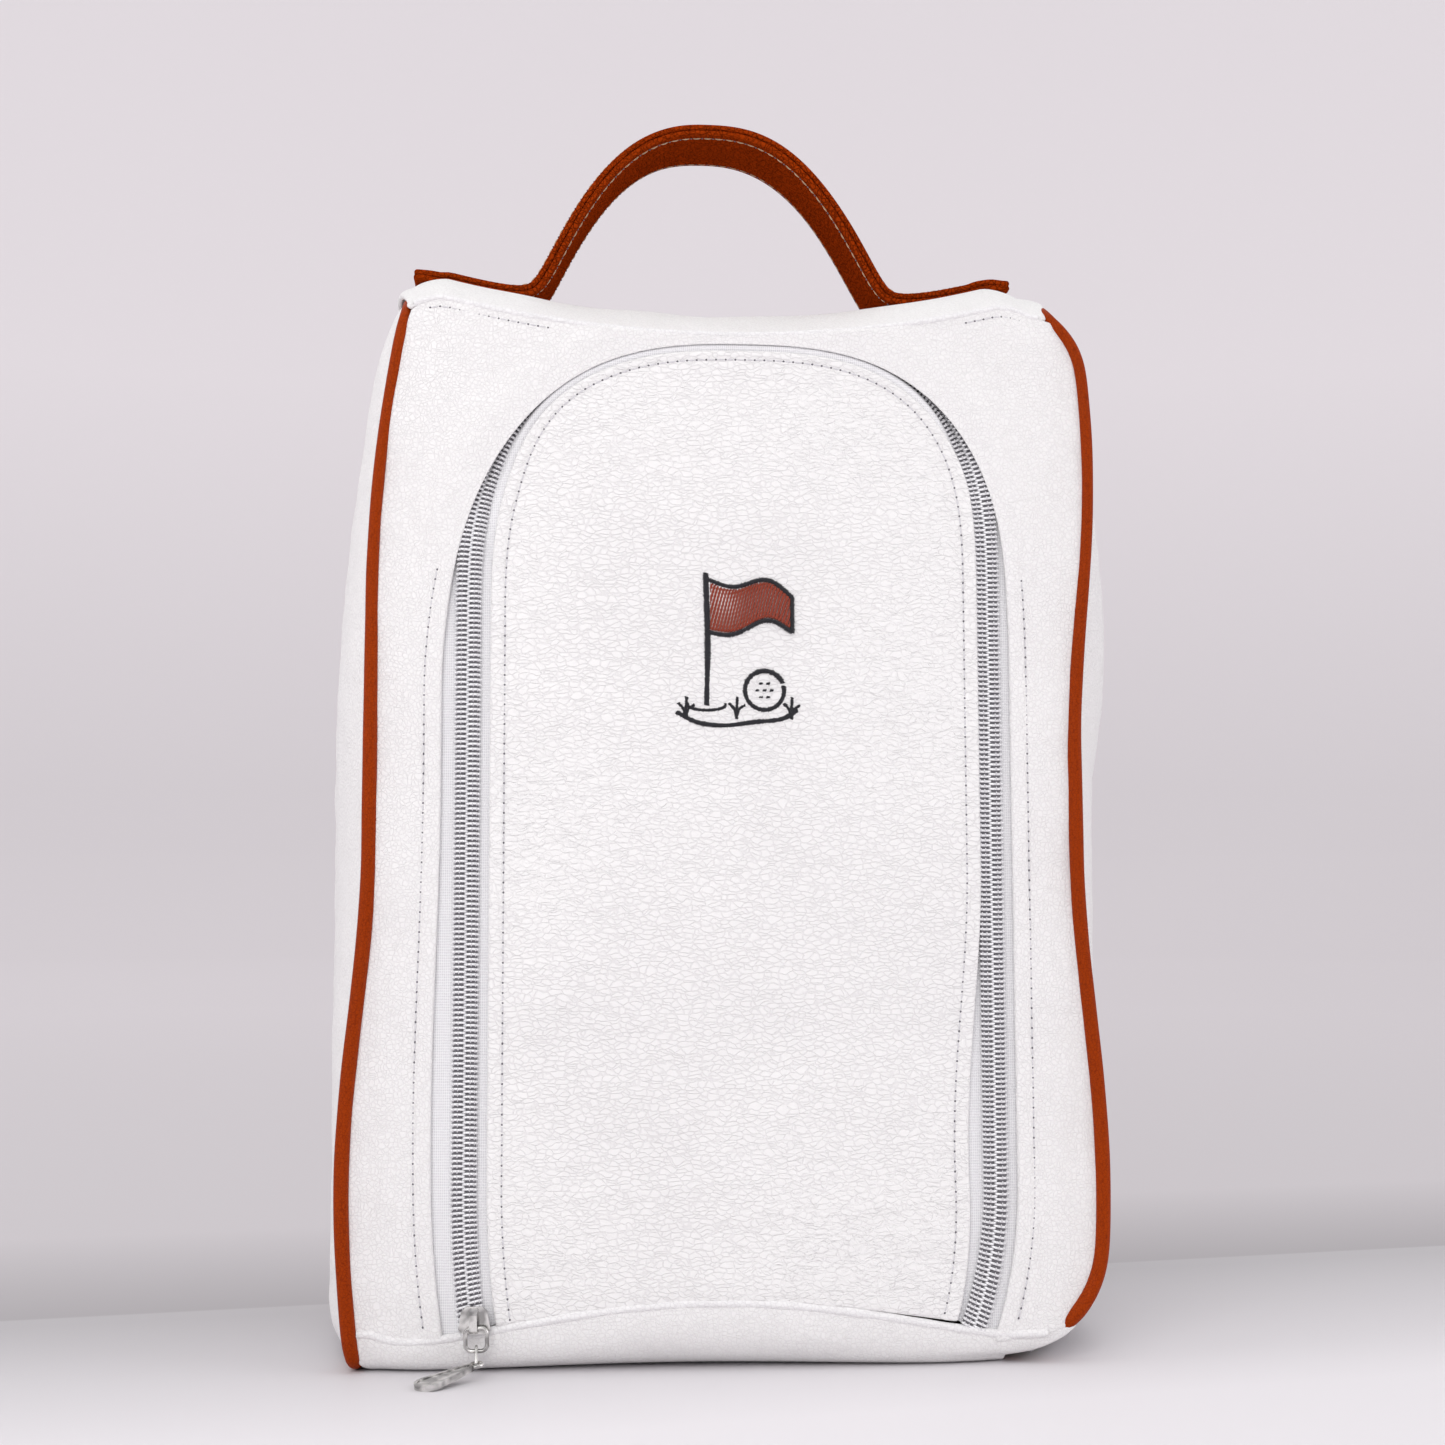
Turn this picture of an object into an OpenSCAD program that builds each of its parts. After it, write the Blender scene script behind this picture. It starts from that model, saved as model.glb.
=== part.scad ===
// Golf shoe bag: an upright leather bag with a zipped arch door in front and a strap handle on top.
// Millimetres, +Z up, the front faces -Y, the origin is on the floor under the middle of the bag.

/* [Bag body] */
// Width over the piping at the fullest height near the base
base_w = 252; // [200:1:300]
// Width over the piping at the waist
waist_w = 239; // [190:1:290]
// Width over the piping at the shoulder
shoulder_w = 244; // [190:1:290]
// Height of the front top seam at its two ends
body_h = 358; // [300:1:420]
// Depth of the bag at the floor, piping to piping
base_d = 132; // [110:1:160]
// How far the front and the back lean inwards for each millimetre of height
lean = 0.045; // [0:0.005:0.08]
// How far the middle of the front stands out past its side edges
front_bulge = 8; // [0:0.5:14]
// How far the middle of the back stands out past its side edges
back_bulge = 5; // [0:0.5:14]
// How far each side gusset stands out past its piping
gusset_bulge = 15; // [0:0.5:24]
// Rise of the top panel over its front seam
top_dome = 15.5; // [8:0.5:30]
// Sag of the front top seam in the middle
top_sag = 12.5; // [0:0.5:20]
// Thickness of the leather
leather = 1.6; // [1:0.1:2.4]
// Thickness of the lining cloth
lining = 0.8; // [0.5:0.1:1.2]

/* [Seams] */
// Diameter of the piping on the gussets
piping_d = 4.5; // [3:0.1:6]
// Diameter of the rolled seams across the front
welt_d = 4.6; // [3:0.1:6]
// Height of the base seam at its two ends
seam_low = 10; // [6:0.5:20]
// Rise of the base seam in the middle
seam_rise = 12; // [0:0.5:18]

/* [Door and zip] */
// Height of the line on which the door folds
fold_h = 25; // [24:0.5:40]
// Half the distance between the zip legs at the bottom
leg_low = 82; // [70:0.5:95]
// Half the distance between the zip legs where the arch starts
leg_high = 88; // [70:0.5:95]
// Height at which the arch starts
arch_h = 275; // [240:1:300]
// Rise of the arch
arch_rise = 63; // [50:1:80]
// Distance from the chain to the edge of the door leather on the legs
door_margin = 8; // [6:0.1:10]
// Distance from the chain to the edge of the surround leather on the legs
surround_margin = 9.7; // [7:0.1:12]
// Width of the closed chain
chain_w = 7.2; // [5:0.1:9]
// Thickness of the chain
chain_t = 2.2; // [1.5:0.1:3]
// Gap left between the two rows of the chain
chain_gap = 1.2; // [1:0.1:1.6]
// Thickness of the zip tape
tape_t = 0.6; // [0.4:0.1:1]

/* [Pull] */
// Width of the slider at its wide end
slider_w = 10.6; // [9:0.1:13]
// Length of the slider along the chain
slider_l = 8.8; // [8:0.1:14]
// Height of the middle of the slider at rest
slider_h = 17.6; // [17.5:0.1:20]
// Wire diameter of the ring
ring_wire = 1.4; // [1:0.1:1.8]
// Width of the ring over its wire
ring_w = 8.4; // [6:0.1:10]
// Height of the ring over its wire
ring_l = 8.6; // [7:0.1:12]
// Length of the tab from its eye to its tip
tab_l = 24; // [18:0.5:34]
// Width of the tab
tab_w = 10; // [8:0.5:14]

/* [Handle] */
// Width of the strap
strap_w = 38; // [25:1:45]
// Thickness of each of its two layers
strap_t = 2.2; // [1.5:0.1:3]
// Rise of the handle over the top panel
handle_rise = 64.5; // [40:1:80]
// Half the span of the handle at its feet
handle_half = 59; // [45:1:75]
// Length of each flat end
strap_end = 43; // [25:1:50]
// Distance of the handle from the middle of the bag
handle_x = -4.5; // [-10:0.5:10]

/* [Motif] */
// Height of the embroidery
motif_h = 52; // [30:1:70]
// Height of its middle over the floor
motif_z = 237; // [180:1:280]
// Distance of its middle from the middle of the bag
motif_x = 3.5; // [-20:0.5:20]

/* [Hidden] */
clear = 0.3; // gap between neighbouring pieces
front_half = 118; // half width over which the front bulge fades
seam_half = 95; // half width of the sag of the top seam and of the rise of the base seam
hump_half = 110; // height over which a swell of the side line fades
swell_low = 60; // height of the fullest point of the base swell
swell_high = 290; // height of the fullest point of the shoulder swell
low_corner_r = 22; // side corner radius at the floor
high_corner_r = 30; // side corner radius at the top
high_corner_z = body_h + 4; // height at which that corner would close
gusset_round = 0.4; // power that rounds the gusset in at the floor and at the top
dome_round = 3; // power of the arch of the top panel between its seams
foot_r = 14; // radius of the front and back lower edges
low_z = piping_d / 2 + clear; // lowest height of the gusset seam
high_z = body_h - 6; // height at which the gusset seam meets the front top seam
seam_gap = piping_d / 2 + clear; // a panel stops this far from the middle of a seam
leg_splay = (leg_high - leg_low) / (arch_h - seam_low); // a zip leg leans out by this much per mm
row_near = chain_gap / 2; // a row of the chain lies between these distances from its middle
row_far = chain_w / 2;
row_front = -0.6; // the coil stands this much proud of the leather
tape_front = leather + clear / 2; // depth of the face of the tape
tape_reach = 12; // width of a tape, from the middle of the chain
frame_foot = seam_low + seam_gap + 1; // lowest point of the surround, its tape and its coil
door_foot = frame_foot + 1.4; // lowest point of the door tape and its coil
board_t = 2; // stiffener board
$fn = 48;

// ---- Small helpers ----

function unit(v) = v / norm(v);
function mix(a, b, k) = a + (b - a) * k;
function hump(u) = abs(u) < 1 ? pow(cos(90 * u), 2) : 0;
function round_in(r, h) = h >= r ? 0 : r - sqrt(max(0, r * r - pow(r - max(0, h), 2)));
function steps(n) = [for (k = [0 : n]) k / n];
function ease(k) = (1 - cos(180 * k)) / 2; // from 0 to 1, in short steps at both ends
function inner_part(grid, rim_rows, rim_cols) =
    [for (i = [rim_rows : len(grid) - 1 - rim_rows])
        [for (j = [rim_cols : len(grid[0]) - 1 - rim_cols]) grid[i][j]]];

// A point of a grid, kept inside its edges
function at(grid, i, j) =
    grid[max(0, min(len(grid) - 1, i))][max(0, min(len(grid[0]) - 1, j))];

// Outward normal of a grid whose columns run to the right and whose rows run up, seen from outside
function normal(grid, i, j) =
    unit(cross(at(grid, i, j + 1) - at(grid, i, j - 1), at(grid, i + 1, j) - at(grid, i - 1, j)));

// The same grid moved inwards
function inset(grid, depth) =
    [for (i = [0 : len(grid) - 1])
        [for (j = [0 : len(grid[0]) - 1]) grid[i][j] - depth * normal(grid, i, j)]];

// A closed sheet between a grid moved in by near and the same grid moved in by far
module sheet(grid, near, far) {
    rows = len(grid);
    cols = len(grid[0]);
    outer = inset(grid, near);
    inner = inset(grid, far);
    points = concat([for (row = outer) for (p = row) p], [for (row = inner) for (p = row) p]);
    back = rows * cols;
    last = rows - 1;
    edge = cols - 1;
    skin = [for (i = [0 : last - 1]) for (j = [0 : edge - 1])
        let (a = i * cols + j, b = a + 1, d = a + cols, c = d + 1)
        each [[a, c, b], [a, d, c],
              [back + a, back + b, back + c], [back + a, back + c, back + d]]];
    ends = [for (j = [0 : edge - 1])
        let (a = j, b = j + 1, d = last * cols + j, c = d + 1)
        each [[a, b, back + b], [a, back + b, back + a],
              [c, d, back + d], [c, back + d, back + c]]];
    sides = [for (i = [0 : last - 1])
        let (a = i * cols, d = a + cols, b = a + edge, c = d + edge)
        each [[d, a, back + a], [d, back + a, back + d],
              [b, c, back + c], [b, back + c, back + b]]];
    polyhedron(points, concat(skin, ends, sides));
}

// A round cord along a path, closed into a loop or capped; up must never lie along the path
module cord(path, d, up, loop = false, sides = 8) {
    n = len(path);
    function next(k) = loop ? path[(k + 1) % n] : path[min(n - 1, k + 1)];
    function prev(k) = loop ? path[(k + n - 1) % n] : path[max(0, k - 1)];
    rings = [for (k = [0 : n - 1])
        let (t = unit(next(k) - prev(k)), a = unit(up - (up * t) * t), b = cross(t, a))
        for (s = [0 : sides - 1])
            path[k] + d / 2 * (a * cos(360 * s / sides) + b * sin(360 * s / sides))];
    spans = loop ? n : n - 1;
    wall = [for (k = [0 : spans - 1]) for (s = [0 : sides - 1])
        let (a = k * sides + s, b = k * sides + (s + 1) % sides,
             c = ((k + 1) % n) * sides + (s + 1) % sides, d = ((k + 1) % n) * sides + s)
        each [[a, c, b], [a, d, c]]];
    caps = loop ? [] : [[for (s = [0 : sides - 1]) s],
                        [for (s = [sides - 1 : -1 : 0]) (n - 1) * sides + s]];
    polyhedron(rings, concat(wall, caps));
}

// ---- Shape of the bag ----

// Half width of the bag at the gusset seam
function half_w(z) =
    waist_w / 2
    + (base_w - waist_w) / 2 * hump((z - swell_low) / hump_half)
    + (shoulder_w - waist_w) / 2 * hump((z - swell_high) / hump_half)
    - round_in(low_corner_r, z)
    - round_in(high_corner_r, high_corner_z - z);

function half_d(z) = base_d / 2 - lean * z;
function swell(x) = 1 - pow(min(abs(x), front_half) / front_half, 2);

// Outer leather surface of the front and of the back
function front(x, z) = [x, -half_d(z) - front_bulge * swell(x), z];
function rear(x, z) = [x, half_d(z) + back_bulge * swell(x), z];

// Height of the seam across the top and of the seam across the base
function top_seam(x) = body_h - top_sag * (1 - pow(min(abs(x), seam_half) / seam_half, 2));
function base_seam(x) = seam_low + seam_rise * hump(x / seam_half);

// Right gusset: u runs from the front seam (-1) to the back seam (1), v from the floor to the top
function gusset(u, v) =
    let (z0 = mix(low_z, high_z, v),
         depth = half_d(z0) - round_in(foot_r, z0),
         out = gusset_bulge * pow(sin(180 * v), gusset_round) * (1 - u * u),
         rise = (top_dome + 1) * (1 - pow(abs(u), dome_round)) * pow(v, 4))
    [half_w(z0) + out, u * depth, z0 + rise];

// Top panel: w runs from the front seam (-1) to the back seam (1)
function crown(x, w) =
    let (z = top_seam(x), y0 = front(x, z)[1], y1 = rear(x, z)[1])
    [x, mix(y0, y1, (w + 1) / 2), z + top_dome * (1 - pow(abs(w), dome_round))];

// ---- Path of the zip ----

leg_steps = 8; // stations up each leg
arch_steps = 20; // and round the arch
margin_fade = 1.5; // power with which the leg margins fade into the arch
arch_turns = [for (k = [0 : arch_steps]) 180 - 180 * k / arch_steps];

// Each station is [x, z, outward x, outward z, share of the leg margins that holds there]
function leg_x(z) = leg_low + leg_splay * (z - seam_low);
function leg_station(side, z) = [side * leg_x(z), z, side, 0, 1];
function arch_station(a) =
    let (n = unit([cos(a) / leg_high, sin(a) / arch_rise]))
    [leg_high * cos(a), arch_h + arch_rise * sin(a), n[0], n[1], pow(abs(cos(a)), margin_fade)];
function stations(z0) = concat(
    [for (k = [0 : leg_steps - 1]) leg_station(-1, mix(z0, arch_h, k / leg_steps))],
    [for (a = arch_turns) arch_station(a)],
    [for (k = [leg_steps - 1 : -1 : 0]) leg_station(1, mix(z0, arch_h, k / leg_steps))]);

// A point of the front, a distance outside the chain
function beside(s, out) = front(s[0] + s[2] * out, s[1] + s[3] * out);

// A band along the zip between two distances from the chain
function band(z0, inner, outer) = [for (s = stations(z0)) [beside(s, outer), beside(s, inner)]];

// ---- Leather panels ----

// The edge of the surround lies closer to the chain over the arch than on the legs
function lip(s) = mix(row_far + clear, surround_margin, s[4]);

corner_rise = high_z - arch_h;
corner_reach = half_w(high_z) - seam_gap;

// Outer edge of the surround, straight out from a station: on the side below the corner, else on top
function surround_edge(s) =
    let (slope = max(0, s[1] - arch_h) / max(0.01, abs(s[0])),
         on_side = slope < corner_rise / corner_reach,
         z_side = s[1] > arch_h ? arch_h + slope * corner_reach : s[1],
         x_top = s[0] * corner_rise / max(1, s[1] - arch_h))
    on_side ? [sign(s[0]) * (half_w(z_side) - seam_gap), z_side]
            : [x_top, top_seam(x_top) - seam_gap];

function surround_grid() = [for (k = steps(3))
    [for (s = stations(frame_foot))
        let (inner = [s[0] + s[2] * lip(s), s[1] + s[3] * lip(s)],
             p = mix(inner, surround_edge(s), k))
        front(p[0], p[1])]];

module front_surround() color("whitesmoke") sheet(surround_grid(), 0, leather);

// Door outline: half width of the door leather at a height
door_top = arch_h + arch_rise - row_far - clear;
function door_half(z) = z <= arch_h ? leg_x(z) - door_margin
    : (leg_high - door_margin) * sqrt(max(0, 1 - pow((z - arch_h) / (door_top - arch_h), 2)));

door_last = door_top - 1.5; // the door sheet ends here, where it is still wide enough to close
function door_rows() = concat(
    [for (k = [0 : 7]) mix(fold_h + clear, arch_h, k / 8)],
    [for (k = [0 : 7]) arch_h + (door_last - arch_h) * sin(90 * k / 7)]);

function door_grid() = [for (z = door_rows())
    [for (u = steps(10)) front(door_half(z) * (2 * u - 1), z)]];

module door_panel() color("whitesmoke") sheet(door_grid(), 0, leather);

// Lower margin of the door leather, held in the base seam under the fold
module door_hem() color("whitesmoke") {
    grid = [for (k = steps(2)) [for (u = steps(16))
        let (x = (leg_low - door_margin) * (2 * u - 1), z0 = base_seam(x) + welt_d / 2 + clear)
        front(x, mix(z0, max(z0 + 0.4, fold_h - 0.5), k))]];
    sheet(grid, 0, leather);
}

function back_grid() = [for (v = steps(12)) [for (u = steps(12))
    let (low = seam_low + seam_gap,
         x = (half_w(mix(low, body_h, v)) - seam_gap) * (1 - 2 * u))
    rear(x, mix(low, top_seam(x) - clear, v))]];

module back_panel() color("whitesmoke") sheet(back_grid(), 0, leather);

gusset_end_u = 0.955; // a gusset sheet stops here, short of its seam
gusset_end_v = 0.009;
function gusset_grid() = [for (v = steps(16)) [for (u = steps(12))
    gusset(gusset_end_u * (2 * u - 1), mix(gusset_end_v, 1 - gusset_end_v, ease(v)))]];

module gusset_right() color("whitesmoke") sheet(gusset_grid(), 0, leather);
module gusset_left() mirror([1, 0, 0]) gusset_right();

// The crown starts behind the rolled front seam and ends on the back panel
function crown_grid() = [for (w = steps(12)) [for (u = steps(12))
    crown((half_w(high_z) - seam_gap) * (2 * u - 1), mix(-0.95, 0.985, w))]];

module top_panel() color("whitesmoke") sheet(crown_grid(), 0, leather);

// Base: a flat sole turned up in front and behind to meet the base seams
base_turn_r = 12; // radius of the turned-up edges
base_front = base_d / 2 + 2.5; // the base stands out to here, behind the base seam
base_wall = seam_low + seam_rise - welt_d / 2 - clear; // highest point of the turned-up edge

module base_profile(depth, wall, r, low) {
    for (side = [-1, 1]) {
        translate([side * (depth - r), low + r]) circle(r);
        translate([side * depth - (side > 0 ? r : 0), low + r]) square([r, wall - low - r]);
    }
    translate([r - depth, low]) square([2 * (depth - r), wall - low]);
}

module base_panel() color("whitesmoke") {
    length = 2 * (half_w(low_z) - seam_gap);
    difference() {
        rotate([90, 0, 90]) translate([0, 0, -length / 2]) linear_extrude(length) difference() {
            base_profile(base_front, base_wall, base_turn_r, 0);
            base_profile(base_front - leather, base_wall + 1, base_turn_r - leather, leather);
        }
        rotate([90, 0, 0]) translate([0, 0, -base_d]) linear_extrude(2 * base_d)
            polygon(concat([[-base_w, base_w], [-base_w, seam_low - welt_d / 2 - clear]],
                [for (u = steps(24)) let (x = front_half * (2 * u - 1))
                    [x, base_seam(x) - welt_d / 2 - clear]],
                [[base_w, seam_low - welt_d / 2 - clear], [base_w, base_w]]));
        translate([-base_w, 0, seam_low + seam_gap - clear]) cube([2 * base_w, base_d, base_d]);
    }
}

module base_board() color("tan") {
    board_w = 2 * (half_w(low_z) - seam_gap - 4);
    board_d = base_d - 2 * base_turn_r;
    translate([-board_w / 2, -board_d / 2, leather + clear]) cube([board_w, board_d, board_t]);
}

// ---- Lining ----

front_lining = leather + tape_t + 2 * clear; // depth of the lining behind the leather and the tape

module lining_front() color("gray")
    sheet([for (k = [1 : 3]) surround_grid()[k]], front_lining, front_lining + lining);

lining_margin = 8; // the door lining stops this far inside the edge of the door leather
module lining_door() color("gray") {
    rows = door_rows();
    sheet([for (i = [0 : len(rows) - 2]) [for (u = steps(10))
        front((door_half(rows[i]) - lining_margin) * (2 * u - 1), rows[i])]],
        front_lining, front_lining + lining);
}

module cloth(grid) color("gray") sheet(grid, leather + clear, leather + clear + lining);

module lining_back() cloth(inner_part(back_grid(), 1, 1));
module lining_right() cloth(inner_part(gusset_grid(), 2, 1));
module lining_left() mirror([1, 0, 0]) lining_right();
module lining_top() cloth(inner_part(crown_grid(), 2, 1));

// ---- Piping and rolled seams ----

// The piping runs all round the edge of a gusset
module piping_right() color("chocolate") {
    side = 22; // steps up a side
    across = 8; // steps over the top and along the floor
    path = concat(
        [for (k = [0 : side - 1]) gusset(-1, ease(k / side))],
        [for (k = [0 : across - 1]) gusset(mix(-1, 1, k / across), 1)],
        [for (k = [0 : side - 1]) gusset(1, 1 - ease(k / side))],
        [for (k = [0 : across - 1]) gusset(mix(1, -1, k / across), 0)]);
    cord(path, piping_d, [1, 0, 0], loop = true);
}
module piping_left() mirror([1, 0, 0]) piping_right();

module welt_top() color("whitesmoke") {
    reach = half_w(high_z) - piping_d - 1;
    cord([for (u = steps(20)) let (x = reach * (2 * u - 1)) front(x, top_seam(x))],
        welt_d - 0.4, [0, 0, 1]);
}

module welt_base() color("whitesmoke") {
    reach = half_w(seam_low) - piping_d - 1;
    cord([for (u = steps(24)) let (x = reach * (2 * u - 1)) front(x, base_seam(x))],
        welt_d - 0.4, [0, 0, 1]);
}

// ---- Zip ----

module tape(path) color("silver") sheet(path, tape_front, tape_front + tape_t);
module row(path) color("silver") sheet(path, row_front, row_front + chain_t);

// A band along the zip, wide on the legs and narrow over the arch
function frame_tape() = [for (s = stations(frame_foot))
    [beside(s, mix(row_far + 2 * clear, tape_reach, s[4])), beside(s, row_near)]];

module tape_frame() tape(frame_tape());
module tape_door() tape(band(fold_h + clear, -tape_reach, -row_near));
module coil_frame() row(band(frame_foot, row_near, row_far));
module coil_door() row(band(fold_h + clear, -row_far, -row_near));

// Lower ends of the door tape and coil, held in the base seam under the fold
function foot_strip(side, reach) = [for (z = [door_foot, fold_h - 0.5])
    let (s = leg_station(side, z), at_chain = beside(s, -row_near), outer = beside(s, -reach))
    side > 0 ? [outer, at_chain] : [at_chain, outer]];

module zip_foot() {
    for (side = [-1, 1]) {
        tape(foot_strip(side, tape_reach));
        row(foot_strip(side, row_far));
    }
}

// ---- Slider and pull ----

plate_front = row_front - clear; // inner face of the front plate
plate_t = 1.5; // thickness of the front plate
back_front = tape_front + tape_t + clear; // outer face of the back plate
back_t = 1.2; // thickness of the back plate
web_t = 0.5; // thickness of the wall that joins the plates, between the rows
bridge_w = 2.6; // width of the bridge that holds the ring
bar_out = -plate_front + plate_t + 1.8; // the ring hangs this far out from the leather
bar_drop = 2.2; // and this far under the middle of the slider

// Frame of the slider: X runs across the chain, Y = 0 is the leather, +Z runs up the leg
slider_foot = front(-leg_x(slider_h), slider_h);
face_slope = 2 * front_bulge * slider_foot[0] / pow(front_half, 2);
slider_up = unit([-leg_splay, lean - face_slope * leg_splay, 1]);
slider_back = unit(cross(slider_up, [1, face_slope, 0]));
slider_right = cross(slider_back, slider_up);
function on_slider(p) =
    slider_foot + p[0] * slider_right + p[1] * slider_back + p[2] * slider_up;

module at_slider()
    multmatrix([for (k = [0 : 2]) [slider_right[k], slider_back[k], slider_up[k], slider_foot[k]]])
        children();

module slider_outline(wide, long) {
    narrow = wide * 0.8;
    cut = 1.6;
    polygon([[-wide / 2 + cut, -long / 2], [wide / 2 - cut, -long / 2], [wide / 2, -long / 2 + cut],
             [narrow / 2, long / 2 - cut], [narrow / 2 - cut, long / 2],
             [cut - narrow / 2, long / 2], [-narrow / 2, long / 2 - cut],
             [-wide / 2, -long / 2 + cut]]);
}

module slider_plate(wide, long, y0, thick)
    translate([0, y0 + thick, 0]) rotate([90, 0, 0]) linear_extrude(thick)
        slider_outline(wide, long);

module slider_bridge() {
    top = bar_out + ring_wire / 2 + 1.2;
    foot = -plate_front + plate_t;
    half = slider_l / 2 - 0.4;
    translate([-bridge_w / 2, 0, 0]) rotate([90, 0, 90]) linear_extrude(bridge_w) difference() {
        polygon([[-foot, -half], [-top + 0.8, -half + 0.2], [-top, -half + 1], [-top, half - 2],
                 [-foot, half]]);
        for (up = [0, 1.8]) translate([-bar_out, up - bar_drop]) circle(ring_wire / 2 + 0.25);
        translate([-bar_out - ring_wire / 2 - 0.25, -bar_drop]) square([ring_wire + 0.5, 1.8]);
    }
}

module slider_body() color("silver") at_slider() {
    slider_plate(slider_w, slider_l, plate_front - plate_t, plate_t);
    slider_plate(slider_w - 1, slider_l, back_front, back_t);
    translate([-web_t / 2, plate_front - 0.1, -slider_l / 4])
        cube([web_t, back_front - plate_front + 0.2, slider_l / 2]);
    slider_bridge();
}

// Joints of the pull: the ring on the slider, the link on the ring, the tab on the link
ring_shift = 0.8; // the ring hangs this far to the right of the chain
ring_r = 2; // bend radius of its corners
ring_drop = ring_l - ring_wire;
link_wire = 1; // wire diameter of the link
link_r = 1.5; // bend radius of each end of the link, at the middle of its wire
link_span = 3.8; // distance between the middles of its two bends
link_lean = 25; // the link hangs this far off the vertical
eye_wire = 1.3; // wire diameter of the eye of the tab
eye_r = 2.1; // radius of the eye, at the middle of its wire
bar = on_slider([ring_shift, -bar_out, -bar_drop]);
knuckle = on_slider([ring_shift, -bar_out, -bar_drop - ring_drop]);
eye = knuckle + link_span * [0, -sin(link_lean), -cos(link_lean)];

// A wire bent to a round-cornered rectangle in the XZ plane, its middle at the origin
module wire_loop(w, l, r, d) {
    for (side = [-1, 1]) {
        translate([side * w / 2, 0, r - l / 2]) cylinder(h = l - 2 * r, d = d);
        if (w > 2 * r) translate([r - w / 2, 0, side * l / 2])
            rotate([0, 90, 0]) cylinder(h = w - 2 * r, d = d);
        for (end = [-1, 1])
            translate([side * (w / 2 - r), 0, end * (l / 2 - r)])
                rotate([90, 0, 0]) rotate([0, 0, side > 0 ? (end > 0 ? 0 : 270) : (end > 0 ? 90 : 180)])
                    rotate_extrude(angle = 90) translate([r, 0]) circle(d = d);
    }
}

module pull_ring() color("silver") at_slider()
    translate([ring_shift, -bar_out, -bar_drop - ring_drop / 2])
        wire_loop(ring_w - ring_wire, ring_drop, ring_r, ring_wire);

module pull_link() color("silver")
    translate((knuckle + eye) / 2) rotate([-link_lean, 0, 0]) rotate([0, 0, 90])
        wire_loop(2 * link_r, link_span + 2 * link_r, link_r, link_wire);

// The tab lies on the floor, its tip forward and to the side
tab_t = 1.2; // thickness of the plate of the tab
rim_t = 1.8; // thickness of its raised rim
rim_w = 1.1; // width of the rim
neck_x = 4; // distance of the narrow end from the eye
neck_r = 2.2; // radius of the narrow end
tab_turn = 220.5; // where the tip points, round the vertical
tab_dip = asin((eye[2] - rim_t / 2 - 0.05) / tab_l);

module tab_outline(grow) {
    neck = neck_r + grow;
    big = tab_w / 2 + grow;
    far_x = tab_l - tab_w / 2;
    slope = asin((big - neck) / (far_x - neck_x));
    translate([far_x, 0]) circle(big);
    translate([neck_x, 0]) circle(neck);
    polygon([[neck_x - neck * sin(slope), neck * cos(slope)],
             [far_x - big * sin(slope), big * cos(slope)],
             [far_x - big * sin(slope), -big * cos(slope)],
             [neck_x - neck * sin(slope), -neck * cos(slope)]]);
}

module pull_tab() color("silver")
    translate(eye - eye_r * [0, 1, -sin(tab_turn) * sin(tab_dip)])
    rotate([0, 0, tab_turn]) rotate([0, tab_dip, 0]) {
        rotate_extrude() translate([eye_r, 0]) circle(d = eye_wire);
        difference() {
            translate([0, 0, -rim_t / 2]) linear_extrude(rim_t) tab_outline(0);
            for (face = [-1, 1])
                translate([0, 0, face > 0 ? tab_t / 2 : -rim_t / 2 - 1])
                    linear_extrude(rim_t / 2 - tab_t / 2 + 1) tab_outline(-rim_w);
            translate([0, 0, -rim_t]) cylinder(h = 2 * rim_t, r = eye_r);
        }
    }

// ---- Handle ----

handle_foot = top_seam(0) + top_dome + clear; // underside of the flat ends over the panel
handle_low = 3; // height of the arch at its feet
handle_soft = 6; // how gently the arch runs into the flat ends
handle_round = 2.45; // power of the arch

// Height of the strap over its feet, running smoothly into the flat ends
function arch_z(x) =
    let (a = handle_rise - (handle_rise - handle_low) * pow(abs(x) / handle_half, handle_round))
    (a + sqrt(a * a + handle_soft * handle_soft)) / 2;
function strap_point(x) =
    [x, handle_foot + top_sag * pow(min(seam_half, abs(x + handle_x)) / seam_half, 2) + arch_z(x)];

function strap_path() =
    let (reach = handle_half + strap_end + 5, n = 64)
    [for (k = [0 : n]) strap_point(reach * sin(90 * (2 * k / n - 1)))];

// One layer of the strap, between two distances from the underside
module strap_layer(low, high) {
    path = strap_path();
    last = len(path) - 1;
    function side(k, h) =
        let (t = unit(path[min(last, k + 1)] - path[max(0, k - 1)])) path[k] + h * [-t[1], t[0]];
    translate([handle_x, strap_w / 2, 0]) rotate([90, 0, 0]) linear_extrude(strap_w)
        polygon(concat([for (k = [0 : last]) side(k, low)], [for (k = [last : -1 : 0]) side(k, high)]));
}

module strap_inner() color("sienna") strap_layer(0, strap_t - 0.1);
module strap_outer() color("peru") strap_layer(strap_t, 2 * strap_t);

// ---- Motif: a flag, a ball and a green, embroidered in two threads ----

thread = 0.8; // height of the stitching over the leather
pole_w = 2.4; // width of the flag pole
pole_x = -motif_h * 0.2; // its left side

module on_door()
    translate(front(motif_x, motif_z) - [0, clear, 0]) rotate([90 - atan(lean), 0, 0])
        linear_extrude(thread) children();

module motif_dark() color("dimgray") on_door() {
    translate([pole_x, -motif_h * 0.42]) square([pole_w, motif_h * 0.92]);
    translate([0, -motif_h * 0.45]) scale([1, 0.22]) circle(motif_h * 0.36);
    translate([motif_h * 0.2, -motif_h * 0.3]) circle(motif_h * 0.085);
}

module motif_fill() color("sienna") on_door() {
    x0 = pole_x + pole_w + clear;
    polygon([[x0, motif_h * 0.5], [x0 + motif_h * 0.5, motif_h * 0.34], [x0, motif_h * 0.14]]);
}

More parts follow.
